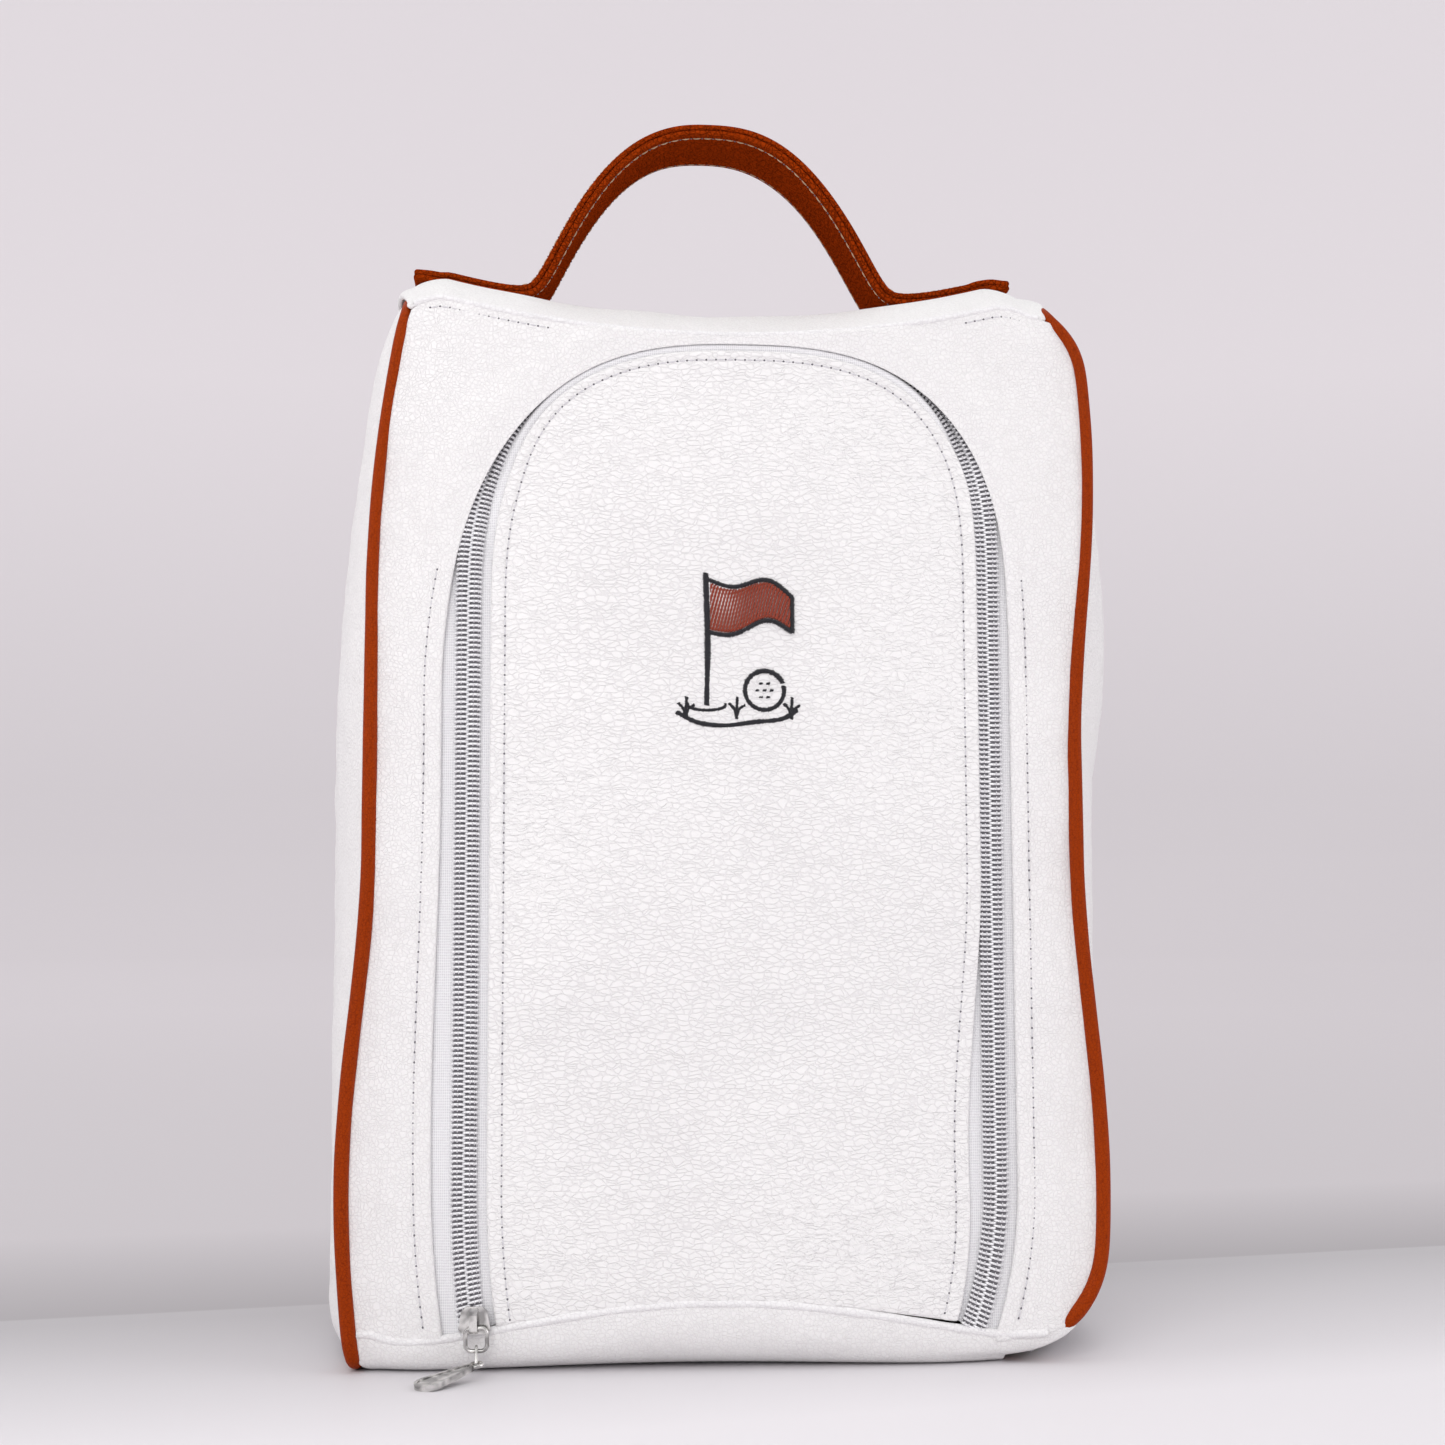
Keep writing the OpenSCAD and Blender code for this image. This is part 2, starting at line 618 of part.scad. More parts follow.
// ---- Output ----

front_surround();
door_panel();
door_hem();
back_panel();
gusset_left();
gusset_right();
top_panel();
base_panel();
base_board();
lining_front();
lining_door();
lining_back();
lining_left();
lining_right();
lining_top();
piping_left();
piping_right();
welt_top();
welt_base();
tape_frame();
tape_door();
coil_frame();
coil_door();
zip_foot();
slider_body();
pull_ring();
pull_link();
pull_tab();
strap_outer();
strap_inner();
motif_dark();
motif_fill();
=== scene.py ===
"""Golf shoe bag: grained white leather, a coil zip round an arched door, tan piping and a strap handle.

Shapes are worked out in millimetres, in the frame of the CAD model, and become metres as meshes.
"""

from types import SimpleNamespace

import bpy
import numpy as np
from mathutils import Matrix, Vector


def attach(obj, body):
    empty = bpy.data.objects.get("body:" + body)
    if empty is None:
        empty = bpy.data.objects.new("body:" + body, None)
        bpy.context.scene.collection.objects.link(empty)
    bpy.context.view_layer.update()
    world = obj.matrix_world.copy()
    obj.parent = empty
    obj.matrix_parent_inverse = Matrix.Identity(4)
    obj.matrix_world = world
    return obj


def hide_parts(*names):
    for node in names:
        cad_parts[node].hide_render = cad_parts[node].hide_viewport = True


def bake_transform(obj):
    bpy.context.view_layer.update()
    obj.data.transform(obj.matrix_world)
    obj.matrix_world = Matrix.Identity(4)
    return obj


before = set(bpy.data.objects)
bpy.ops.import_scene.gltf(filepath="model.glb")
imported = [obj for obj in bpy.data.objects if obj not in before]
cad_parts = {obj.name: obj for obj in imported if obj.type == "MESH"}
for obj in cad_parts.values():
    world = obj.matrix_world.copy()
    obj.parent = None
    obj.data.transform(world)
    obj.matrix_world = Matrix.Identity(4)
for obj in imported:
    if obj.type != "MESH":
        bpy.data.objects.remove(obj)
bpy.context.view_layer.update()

MM = 0.001

# ---- Driving sizes, in millimetres ----

DEPTH = 132.0  # depth of the bag at the floor, piping to piping
LEAN = 0.045  # the front and the back lean inwards by this much per millimetre of height
HALF_FRONT = 118.0  # half width over which the bulge of the front and the back fades
FRONT_BULGE = 8.0
BACK_BULGE = 5.0
LEATHER = 1.7
CLOTH = 0.5
SEAM_GAP = 2.0  # the front and the back stop this far short of the piping
FOOT_GAP = 1.0  # and the front this far over the base seam

TOP_H = 358.0  # height of the front top seam near its ends
TOP_SAG = 12.5
TOP_HALF = 95.0  # half width of the sag
TOP_DOME = 15.5  # rise of the top panel over the seam
SHOULDER_R = 8.0  # roundness of the ends of the top panel
GUSSET_RISE = 10.0  # rise of the piping over the two top corners
BASE_SEAM_H = 10.0
BASE_SEAM_RISE = 12.2
BASE_ROUND = 0.65  # power of the turned-up front of the base: 1 is an ellipse, less is fuller

# The bag stands a little askew, so each side has its own outline: the piping (waist to crown), the
# middle of the gusset (belly), the zip (leg to power) and the corner at the floor (foot_r to base_gap)
LEFT = SimpleNamespace(
    sign=-1, waist=118.6, base_swell=7.6, shoulder=0.0, taper=9.5,
    low_r=6.0, floor=0.0, high_r=8.0, top=358.0, seam_top=353.0, crown=7.0,
    belly=134.0, belly_swell=0.0, belly_taper=16.0,
    leg=86.3, toe=5.2, spring=250.0, power=2.6, foot_r=8.0, tuck=0.0, floor_thin=0.0, base_gap=2.0,
)
RIGHT = SimpleNamespace(
    sign=1, waist=120.0, base_swell=6.9, shoulder=6.5, taper=0.0,
    low_r=34.0, floor=3.0, high_r=22.0, top=358.5, seam_top=354.8, crown=3.5,
    belly=136.0, belly_swell=6.5, belly_taper=9.0,
    leg=90.0, toe=13.9, spring=260.0, power=2.8, foot_r=14.0, tuck=5.0, floor_thin=0.5, base_gap=-3.5,
)
SIDES = ((LEFT, "left"), (RIGHT, "right"))

PIPING_R = 2.5
TOP_WELT_R = 1.2
BASE_WELT_R = 1.5

ZIP_FOOT = 13.5  # height of the lower end of the zip, with the base seam pulled straight
ARCH_X = 5.0
ARCH_TOP = 346.0
LIP_SINK = 3.0  # the chain sinks this deep where the surround starts to cover it
CHAIN_SINK = 5.2  # and this deep at the top of the arch
CHAIN_TILT = 0.9  # how far it turns back there, in radians
LIP_THIN = 0.55  # thickness of the leather edge over the arch
LIP_STITCH = 5.0  # from that edge to its stitches
FAN_Z = 262.0  # over this height the rows of the surround fan out round the arch
SPINE_TOP = 300.0  # top of the middle line on which the rows of the door end
TAPE_DEPTH = LEATHER + 0.1

COIL_PITCH = 1.66
COIL_WIRE_R = 0.45
COIL_MIDDLE, COIL_REACH = 1.95, 2.25  # from the middle of the chain to a row's middle; its half width
COIL_LIFT, COIL_RISE = -0.62, 0.78  # height of a row's middle over the leather; its half height
# Distance from the middle of the chain, and height: of the threads on a row, and of the filler in it, a
# dark grey sheet that is partly the coil's filler cord and partly painted shade
COIL_SEATS = ((2.05, 0.42), (3.5, 0.18))
COIL_CORE_AND_SHADE = ((0.55, -0.8), (0.9, -0.4), (2.0, -0.3), (3.4, -0.4), (3.9, -0.8))

STITCH_PITCH = 3.3
STITCH_R = 0.32
HOLE_R, HOLE_HALF = 0.34, 0.42  # size of a needle hole across and along its seam
THREAD_R = 0.26  # thread of the embroidery
THREAD_PITCH = 0.36

STRAP_HALF_W = 19.0
STRAP_T = 2.1
STRAP_RISE = 67.7
STRAP_X = -2.8  # the top of the handle
STRAP_LEFT, STRAP_RIGHT = 57.5, 60.5  # from there to the feet of its arch
STRAP_LEFT_END, STRAP_RIGHT_END = 46.2, 47.9  # lengths that lie flat
STRAP_SOFT = 15.0  # how gently the strap turns up from the top panel

rng = np.random.default_rng(7)


# ---- Small numerical helpers ----

def mix(a, b, k):
    return a + (b - a) * k


def smooth(k):
    k = np.clip(k, 0, 1)
    return k * k * (3 - 2 * k)


def hump(u):
    return np.where(np.abs(u) < 1, np.cos(np.pi / 2 * np.clip(u, -1, 1)) ** 2, 0.0)


def corner(radius, run):
    """How far a round corner has cut in, at a distance before its end."""
    run = np.clip(run, 0, radius)
    return radius - np.sqrt(np.maximum(0, radius**2 - (radius - run) ** 2))


def points(x, y, z):
    return np.stack([np.asarray(a, float) for a in np.broadcast_arrays(x, y, z)], axis=-1)


def unit(v):
    return v / np.maximum(np.linalg.norm(v, axis=-1, keepdims=True), 1e-9)


def resample(line, count=None, step=None):
    """The same line through evenly spaced points."""
    run = np.concatenate([[0], np.cumsum(np.linalg.norm(np.diff(line, axis=0), axis=1))])
    count = count or max(3, round(run[-1] / step) + 1)
    at = np.linspace(0, run[-1], count)
    return np.stack([np.interp(at, run, line[:, k]) for k in range(line.shape[1])], axis=1)


def ripple(p, length, seed):
    """Soft waves between -1 and 1, about one length apart, that repeat nowhere on the bag."""
    waves = np.random.default_rng(seed)
    total = np.zeros(p.shape[:-1])
    for _ in range(7):
        way = unit(waves.normal(size=3)) * 2 * np.pi / length * waves.uniform(0.6, 1.5)
        total += np.sin(p @ way + waves.uniform(0, 2 * np.pi))
    return total / 4


# ---- Shape of the bag ----

def half_depth(z):
    return DEPTH / 2 - LEAN * z


def half_width(side, z):
    """Half width of the bag at the piping."""
    swell = side.base_swell * hump((z - 60) / 110) + side.shoulder * hump((z - 302) / 100)
    taper = side.taper * np.clip((z - 255) / 95, 0, None) ** 2
    cut = corner(side.low_r, z - side.floor) + corner(side.high_r, side.top - z)
    return side.waist + swell - taper - cut


def belly(side, z):
    """Half width of the bag at the middle of its gusset."""
    swell = side.belly_swell * hump((z - 252) / 70)
    taper = side.belly_taper * np.clip((z - 200) / 150, 0, None) ** 2
    return side.belly + swell - taper


def top_seam(x):
    sag = TOP_SAG * (1 - (np.minimum(np.abs(x), TOP_HALF) / TOP_HALF) ** 2)
    return TOP_H - sag - 3 * np.clip((np.abs(x) - 96) / 11, 0, 1) ** 2


def base_seam(x):
    ends = 2.5 * np.clip((np.abs(x) - 104) / 12, 0, 1) ** 2
    return BASE_SEAM_H + BASE_SEAM_RISE * hump((x + 4) / 97) ** 0.6 + ends


def bulge(x):
    return 1 - (np.minimum(np.abs(x), HALF_FRONT) / HALF_FRONT) ** 2


def on_front(x, z):
    """A point of the outside of the front at its true height."""
    return points(x, -half_depth(z) - FRONT_BULGE * bulge(x), z)


def front(x, z):
    """The same, where z is measured with the curved base seam pulled straight."""
    lift = (base_seam(x) + FOOT_GAP - ZIP_FOOT) * (1 - smooth((z - ZIP_FOOT) / 60))
    return on_front(x, z + lift)


def front_out(x, z):
    """Outward normal of the front."""
    across = front(x + 0.5, z) - front(x - 0.5, z)
    along = front(x, z + 0.5) - front(x, z - 0.5)
    return unit(np.cross(across, along))


def back(x, z):
    return points(x, half_depth(z) + BACK_BULGE * bulge(x), z)


def gusset(side, u, z0):
    """A gusset: u runs from the front piping (-1) to the back piping (1)."""
    edge = half_width(side, z0)
    foot = 1 - np.clip((z0 - PIPING_R) / 18, 0, 1)
    head = 1 - np.clip((side.seam_top - z0) / 28, 0, 1)
    full = np.sqrt(np.maximum(0, (1 - foot**2) * (1 - head**2)))
    out = np.maximum(0, belly(side, z0) - edge) * full * (1 - u * u)
    climb = (z0 - PIPING_R) / (side.seam_top - PIPING_R)
    rise = GUSSET_RISE * (1 - np.abs(u) ** 3) * climb**5
    depth = half_depth(z0) - corner(side.foot_r, z0)
    return points(side.sign * (edge + out), u * depth, z0 + rise)


def crown_end(sign, w):
    """Half width of the top panel, whose ends swell over the gussets."""
    left, right = (half_width(side, side.seam_top) - 1.2 + side.crown * (1 - w**2)
                   for side in (LEFT, RIGHT))
    return np.where(sign < 0, left, right)


def crown_top(x):
    """Height of the middle of the top panel."""
    return top_seam(x) + TOP_DOME


def strap_flat(x):
    """Height of the underside of the strap where it lies on the top panel."""
    press = 2.6 - 1.6 * smooth((np.abs(x - STRAP_X) - 94) / 10)
    return crown_top(np.clip(x, -98, 98)) - press


def strap_under(x):
    """Height of the underside of the strap."""
    span = np.where(x < STRAP_X, STRAP_LEFT, STRAP_RIGHT)
    arch = STRAP_RISE - (STRAP_RISE - 3) * (np.abs(x - STRAP_X) / span) ** 2.45
    return strap_flat(x) + (arch + np.hypot(arch, STRAP_SOFT)) / 2


def crown(x, w):
    """Top panel: w runs from the front seam (-1) to the back edge (1)."""
    y0 = -half_depth(top_seam(x)) - FRONT_BULGE * bulge(x)
    y1 = half_depth(top_seam(x)) + BACK_BULGE * bulge(x)
    y = mix(y0, y1, (w + 1) / 2)
    z = top_seam(x) + TOP_DOME * (1 - np.abs(w) ** 2.6)
    side_z = np.where(x < 0, LEFT.seam_top, RIGHT.seam_top) + GUSSET_RISE * (1 - np.abs(w) ** 3)
    fall = corner(SHOULDER_R, crown_end(np.sign(x), w) - np.abs(x)) / SHOULDER_R
    z = mix(z, np.minimum(z, side_z + 2.5), fall)
    under = strap_under(x) - 0.25
    pressed = smooth((STRAP_HALF_W + 9 - np.abs(y)) / 10)
    return points(x, y, mix(z, np.minimum(z, under), pressed))


# ---- Path of the zip ----

def zip_half(side, count=None):
    """One half of the middle line of the chain, from its foot to the top of the arch."""
    z = np.linspace(ZIP_FOOT, side.spring, 200)
    leg_x = side.leg - side.toe * np.clip(1 - z / 60, 0, 1) ** 2
    turn = np.linspace(0, np.pi / 2, 400)[1:]
    reach = side.leg - side.sign * ARCH_X
    arch_x = ARCH_X + side.sign * reach * np.cos(turn).clip(0) ** (2 / side.power)
    arch_z = side.spring + (ARCH_TOP - side.spring) * np.sin(turn) ** (2 / side.power)
    line = np.stack([np.append(side.sign * leg_x, arch_x), np.append(z, arch_z)], axis=1)
    return resample(line, count=count) if count else line


class Stations:
    """Places along the zip, with the distances of the leather edges from the chain."""

    def __init__(self, per_side=None, pitch=None, start=0.0):
        if per_side:
            left, right = zip_half(LEFT, per_side), zip_half(RIGHT, per_side)
            self.share = np.concatenate([np.linspace(0, 1, per_side), np.linspace(1, 0, per_side)[1:]])
        else:
            left, right = zip_half(LEFT), zip_half(RIGHT)
        self.xz = np.concatenate([left, right[-2::-1]])
        if pitch:
            even = resample(self.xz, step=pitch / 2)
            self.xz = even[int(round(start * 2))::2]
        way = unit(np.gradient(self.xz, axis=0))
        self.away = np.stack([-way[:, 1], way[:, 0]], axis=1)
        x, z = self.xz.T
        right_share = smooth((x + 30) / 60)
        arch = smooth((z - 290) / 45)
        leg_lip = mix(9.4 + 2.2 * hump((z - 80) / 110), 8.2, right_share)
        closing = mix(smooth((z - 225) / 110), smooth((z - 225) / 125) ** 1.6, right_share)
        self.lip = mix(leg_lip, -3.6, closing)
        leg_door = mix(8.4, 4.4 + 5.7 * hump((z - 70) / 95), right_share)
        self.door = mix(leg_door, 6.8, arch)
        self.stitch = mix(4.0, 2.4, arch)
        top = smooth((z - 305) / 42)
        self.sink = mix(LIP_SINK * smooth((4.6 - self.lip) / 5), CHAIN_SINK, top)
        self.tilt = CHAIN_TILT * top
        self.arch = arch

    def on_leather(self, out, lift=0.0):
        """Points a distance outside the chain, and a height over the leather."""
        p = self.xz + self.away * np.asarray(out, float).reshape(-1, 1)
        x, z = p.T
        return front(x, z) + front_out(x, z) * np.asarray(lift, float).reshape(-1, 1)

    def on_chain(self, out, lift):
        """The same for the chain, which sinks and turns back along the arch."""
        turned_out = out * np.cos(self.tilt) + lift * np.sin(self.tilt)
        turned_lift = lift * np.cos(self.tilt) - out * np.sin(self.tilt) - self.sink
        return self.on_leather(turned_out, turned_lift)


# ---- Meshes ----

def grid_faces(rows, cols):
    a = (np.arange(rows - 1)[:, None] * cols + np.arange(cols - 1)).ravel()
    return np.stack([a, a + 1, a + cols + 1, a + cols], axis=1)


def normals(verts, faces):
    a, b, c, d = (verts[faces[:, k]] for k in range(4))
    face = np.cross(c - a, d - b)
    total = np.zeros_like(verts)
    for k in range(4):
        np.add.at(total, faces[:, k], face)
    return unit(total)


def weld(verts, faces):
    """Joins points that lie in one place."""
    _, first, where = np.unique(np.round(verts, 2), axis=0, return_index=True, return_inverse=True)
    return verts[first], where.reshape(-1)[faces]


def thicken(verts, faces, thick, turns=5):
    """Closes a skin into a sheet with a round edge. The skin is its outside."""
    count = len(verts)
    thick = np.broadcast_to(thick, count)[:, None]
    out = normals(verts, faces)
    edges = np.concatenate([faces[:, [k, (k + 1) % 4]] for k in range(4)])
    code = edges[:, 0] * count + edges[:, 1]
    rim = edges[~np.isin(code, edges[:, 1] * count + edges[:, 0])]
    away = np.zeros_like(verts)
    side = np.cross(verts[rim[:, 1]] - verts[rim[:, 0]], out[rim[:, 0]])
    np.add.at(away, rim[:, 0], unit(side))
    np.add.at(away, rim[:, 1], unit(side))
    on_rim = np.unique(rim)
    place = np.zeros(count, int)
    place[on_rim] = np.arange(len(on_rim))
    a, b = rim.T
    layers, strips, last = [verts], [faces], (a, b)
    for k in range(1, turns):
        turn = np.pi * k / turns
        ring = verts[on_rim] + thick[on_rim] / 2 * (
            unit(away[on_rim]) * np.sin(turn) - out[on_rim] * (1 - np.cos(turn)))
        start = sum(len(layer) for layer in layers)
        now = (start + place[a], start + place[b])
        strips.append(np.stack([last[1], last[0], now[0], now[1]], axis=1))
        layers.append(ring)
        last = now
    start = sum(len(layer) for layer in layers)
    layers.append(verts - out * thick)
    strips.append(np.stack([last[1], last[0], start + a, start + b], axis=1))
    strips.append(start + faces[:, ::-1])
    return np.concatenate(layers), np.concatenate(strips)


def raised(grid, height):
    """A grid moved out along its normals."""
    flat = grid.reshape(-1, 3)
    out = normals(flat, grid_faces(*grid.shape[:2]))
    return grid + (out * np.asarray(height).reshape(-1, 1)).reshape(grid.shape)


def circle(a, b, sides):
    """Points of a unit circle in the plane of each pair of directions."""
    turn = np.arange(sides) * 2 * np.pi / sides
    return a[..., None, :] * np.cos(turn)[:, None] + b[..., None, :] * np.sin(turn)[:, None]


def wall_faces(count, sides, closed=False):
    """Faces between so many rings of points, the last of which may join the first."""
    k, s = np.indices((count if closed else count - 1, sides)).reshape(2, -1)
    nk, ns = (k + 1) % count, (s + 1) % sides
    return np.stack([k * sides + s, k * sides + ns, nk * sides + ns, nk * sides + s], axis=1)


def tube(line, radius, up, sides=14, closed=False):
    """A cord along a line; up never lies along it."""
    if closed:
        way = unit(np.roll(line, -1, axis=0) - np.roll(line, 1, axis=0))
    else:
        way = unit(np.gradient(line, axis=0))
    a = unit(up - (way @ up)[:, None] * way)
    r = np.broadcast_to(radius, len(line))[:, None, None]
    rings = line[:, None] + r * circle(a, np.cross(way, a), sides)
    return rings.reshape(-1, 3), wall_faces(len(line), sides, closed)


def strands(start, end, up, radius, arch, rings=6):
    """Many short threads that rise out of a surface and dive back into it."""
    sides = 6
    k = np.linspace(0, 1, rings)[None, :, None]
    middle = mix(start[:, None], end[:, None], k)
    middle = middle + up[:, None] * np.sin(np.pi * k) * np.reshape(arch, (-1, 1, 1))
    across = np.cross(unit(end - start), up)
    size = radius * (0.25 + 0.75 * np.sin(np.pi * k) ** 0.5)
    verts = middle[:, :, None] + size[..., None] * circle(up[:, None], across[:, None], sides)
    cap = np.array([[0, 1, 2, 3], [0, 3, 4, 5]])
    wall = np.concatenate([wall_faces(rings, sides), cap[:, ::-1], cap + (rings - 1) * sides])
    faces = (np.arange(len(start)) * rings * sides)[:, None, None] + wall
    return verts.reshape(-1, 3), faces.reshape(-1, 4)


def loops(wire, up, radius, sides=6):
    """Many closed wires, each a ring of points in its own plane."""
    way = unit(np.roll(wire, -1, axis=1) - np.roll(wire, 1, axis=1))
    b = unit(up)[:, None] * np.ones_like(way)
    verts = wire[:, :, None] + radius * circle(unit(np.cross(way, b)), b, sides)
    count, around = wire.shape[:2]
    wall = wall_faces(around, sides, closed=True)[:, [0, 3, 2, 1]]
    faces = (np.arange(count) * around * sides)[:, None, None] + wall
    return verts.reshape(-1, 3), faces.reshape(-1, 4)


def piece(name, parts, materials, slot, nodes=(), body="body", bend=False):
    """One object from (points, faces) parts, each part in the material of the same place."""
    verts, faces, which, start = [], [], [], 0
    for k, (v, f) in enumerate(parts):
        verts.append(v)
        faces.append(f + start)
        which.append(np.full(len(f), min(k, len(materials) - 1)))
        start += len(v)
    mesh = bpy.data.meshes.new(name)
    mesh.from_pydata(np.concatenate(verts) * MM, [], np.concatenate(faces).tolist())
    mesh.polygons.foreach_set("use_smooth", np.ones(len(mesh.polygons), bool))
    mesh.polygons.foreach_set("material_index", np.concatenate(which))
    for material in materials:
        mesh.materials.append(material)
    mesh.validate()
    made = bpy.data.objects.new(name, mesh)
    bpy.context.scene.collection.objects.link(made)
    if bend:
        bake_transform(made)
    else:
        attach(made, body)
    if nodes:
        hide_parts(*nodes)
    return made


# ---- Materials ----

def shader(name, colour, roughness, metallic=0.0, specular=0.5, sheen=0.0):
    """A new material: its node tree, its shader and its place in the row frame."""
    material = bpy.data.materials.new(name)
    material.use_nodes = True
    nodes = material.node_tree.nodes
    body = nodes["Principled BSDF"]
    body.inputs["Base Color"].default_value = (*colour, 1)
    body.inputs["Roughness"].default_value = roughness
    body.inputs["Metallic"].default_value = metallic
    body.inputs["Specular IOR Level"].default_value = specular
    body.inputs["Sheen Weight"].default_value = sheen
    place = nodes.new("ShaderNodeTexCoord").outputs["Object"]
    return SimpleNamespace(material=material, tree=material.node_tree, body=body, place=place)


def node(s, kind, settings=None, **inputs):
    """A new node with its inputs set or linked."""
    made = s.tree.nodes.new(kind)
    for name, value in (settings or {}).items():
        setattr(made, name, value)
    for name, value in inputs.items():
        target = made.inputs[int(name[1:])] if name[1:].isdigit() else made.inputs[name]
        if isinstance(value, bpy.types.NodeSocket):
            s.tree.links.new(value, target)
        else:
            target.default_value = value
    return made


def stretched(s, scale):
    return node(s, "ShaderNodeMapping", i0=s.place, i3=scale).outputs[0]


def noise(s, place, scale, detail=2.0, roughness=0.5):
    return node(s, "ShaderNodeTexNoise", Vector=place, Scale=scale, Detail=detail,
                Roughness=roughness).outputs["Fac"]


def maths(s, kind, a, b):
    return node(s, "ShaderNodeMath", {"operation": kind}, i0=a, i1=b).outputs[0]


def ranged(s, value, low, high, to_low=0.0, to_high=1.0):
    return node(s, "ShaderNodeMapRange", i0=value, i1=low, i2=high, i3=to_low, i4=to_high).outputs[0]


def tinted(s, amount, dark, light):
    """Colours the shader between two colours."""
    made = node(s, "ShaderNodeMix", {"data_type": "RGBA"}, i0=amount)
    made.inputs[6].default_value = (*dark, 1)
    made.inputs[7].default_value = (*light, 1)
    s.tree.links.new(made.outputs[2], s.body.inputs["Base Color"])


def roughened(s, value):
    s.tree.links.new(value, s.body.inputs["Roughness"])


def bumped(s, height, distance, strength=1.0):
    made = node(s, "ShaderNodeBump", Height=height, Distance=distance, Strength=strength)
    s.tree.links.new(made.outputs[0], s.body.inputs["Normal"])


def linear(red, green, blue):
    """A display colour, from 0 to 255, as the linear colour that a shader takes."""
    c = np.array([red, green, blue]) / 255
    return tuple(float(v) for v in np.where(c < 0.04045, c / 12.92, ((c + 0.055) / 1.055) ** 2.4))


def leather(name, light, dark, grain, depth, roughness, creases=0.2, stretch=(1, 1, 1),
            specular=0.4):
    """Pebbled leather: soft rounded grains, with longer winding creases in some places. Its colour is
    painted darker where the grains and creases sink, as painted shade in the valleys, with a fine random
    mottle.
    """
    light, dark = linear(*light), linear(*dark)
    s = shader(name, light, roughness, specular=specular)
    wander = node(s, "ShaderNodeTexNoise", Vector=s.place, Scale=1 / (3 * grain * MM), Detail=2.0)
    shift = node(s, "ShaderNodeVectorMath", {"operation": "SCALE"}, i0=wander.outputs["Color"])
    shift.inputs["Scale"].default_value = 2.0 * grain * MM
    moved = node(s, "ShaderNodeVectorMath", {"operation": "ADD"}, i0=s.place, i1=shift.outputs[0])
    place = node(s, "ShaderNodeMapping", i0=moved.outputs[0], i3=stretch).outputs[0]
    cells = node(s, "ShaderNodeTexVoronoi", {"feature": "DISTANCE_TO_EDGE"}, Vector=place,
                 Scale=1 / (grain * MM)).outputs["Distance"]
    pebble = node(s, "ShaderNodeMapRange", {"interpolation_type": "SMOOTHSTEP"}, i0=cells, i1=-0.03,
                  i2=0.14).outputs[0]
    swirl = noise(s, place, 0.42 / (grain * MM), 3.0, 0.6)
    valley = maths(s, "ABSOLUTE", maths(s, "SUBTRACT", swirl, 0.5), 0.0)
    crease = ranged(s, valley, 0.0, 0.06)
    patch = ranged(s, noise(s, s.place, 11.0, 1.0), 0.4, 0.65, 0.0, creases)
    height = maths(s, "ADD", maths(s, "MULTIPLY", pebble, 0.7), maths(s, "MULTIPLY", crease, patch))
    skin = noise(s, s.place, 2600.0, 2.0)
    height = maths(s, "ADD", height, maths(s, "MULTIPLY", skin, 0.1))
    bumped(s, height, depth * MM)
    # painted shade: the colour follows the height of grains and creases, darkest in the valleys
    tinted(s, ranged(s, height, 0.0, 0.9), dark, light)
    roughened(s, ranged(s, height, 0.0, 1.3, roughness + 0.1, roughness - 0.05))
    return s.material


def woven(name, light, dark, rib, across, depth):
    """Ribbed tape or plain cloth, its colour painted darker between the ribs as painted shade, with a
    random fuzz in its tone.
    """
    light, dark = linear(*light), linear(*dark)
    s = shader(name, light, 0.75, specular=0.25, sheen=0.25)
    ribs = node(s, "ShaderNodeTexWave", {"wave_type": "BANDS", "bands_direction": "Z"},
                Vector=s.place, Scale=0.314 / (rib * MM), Distortion=0.6, Detail=1.0).outputs["Fac"]
    warp = node(s, "ShaderNodeTexWave", {"wave_type": "BANDS", "bands_direction": "X"},
                Vector=s.place, Scale=0.314 / (across * MM), Distortion=0.4, Detail=1.0).outputs["Fac"]
    height = maths(s, "MULTIPLY", maths(s, "ADD", ribs, warp), 0.5)
    bumped(s, height, depth * MM)
    fuzz = maths(s, "ADD", height, maths(s, "MULTIPLY", noise(s, s.place, 900.0), 0.4))
    # painted shade: darker where the ribs sink, mixed with random fuzz
    tinted(s, ranged(s, fuzz, 0.25, 0.95), dark, light)
    return s.material


def thread(name, light, dark, roughness=0.6):
    """Twisted sewing thread."""
    light, dark = linear(*light), linear(*dark)
    s = shader(name, light, roughness, specular=0.35, sheen=0.2)
    twist = noise(s, stretched(s, (1.0, 1.0, 2.0)), 2600.0, 2.0)
    tinted(s, twist, dark, light)
    bumped(s, twist, 0.12 * MM)
    return s.material


def metal(name, colour, roughness):
    """Plated metal with fine scratches and a few dull spots, and broad darker patches in its colour that
    are painted reflection.
    """
    s = shader(name, colour, roughness, metallic=1.0)
    scratch = noise(s, stretched(s, (1.0, 1.0, 0.12)), 2400.0, 3.0)
    spots = noise(s, s.place, 260.0, 3.0)
    roughened(s, ranged(s, maths(s, "ADD", maths(s, "MULTIPLY", scratch, 0.5), spots), 0.4, 1.1,
                        roughness - 0.08, roughness + 0.16))
    waves = noise(s, s.place, 260.0, 1.0)
    bumped(s, maths(s, "ADD", maths(s, "MULTIPLY", scratch, 0.05), waves), 0.12 * MM)
    # painted reflection: broad darker patches, from the same waves that dent the surface
    tinted(s, ranged(s, waves, 0.4, 0.62), tuple(0.42 * c for c in colour), colour)
    return s.material


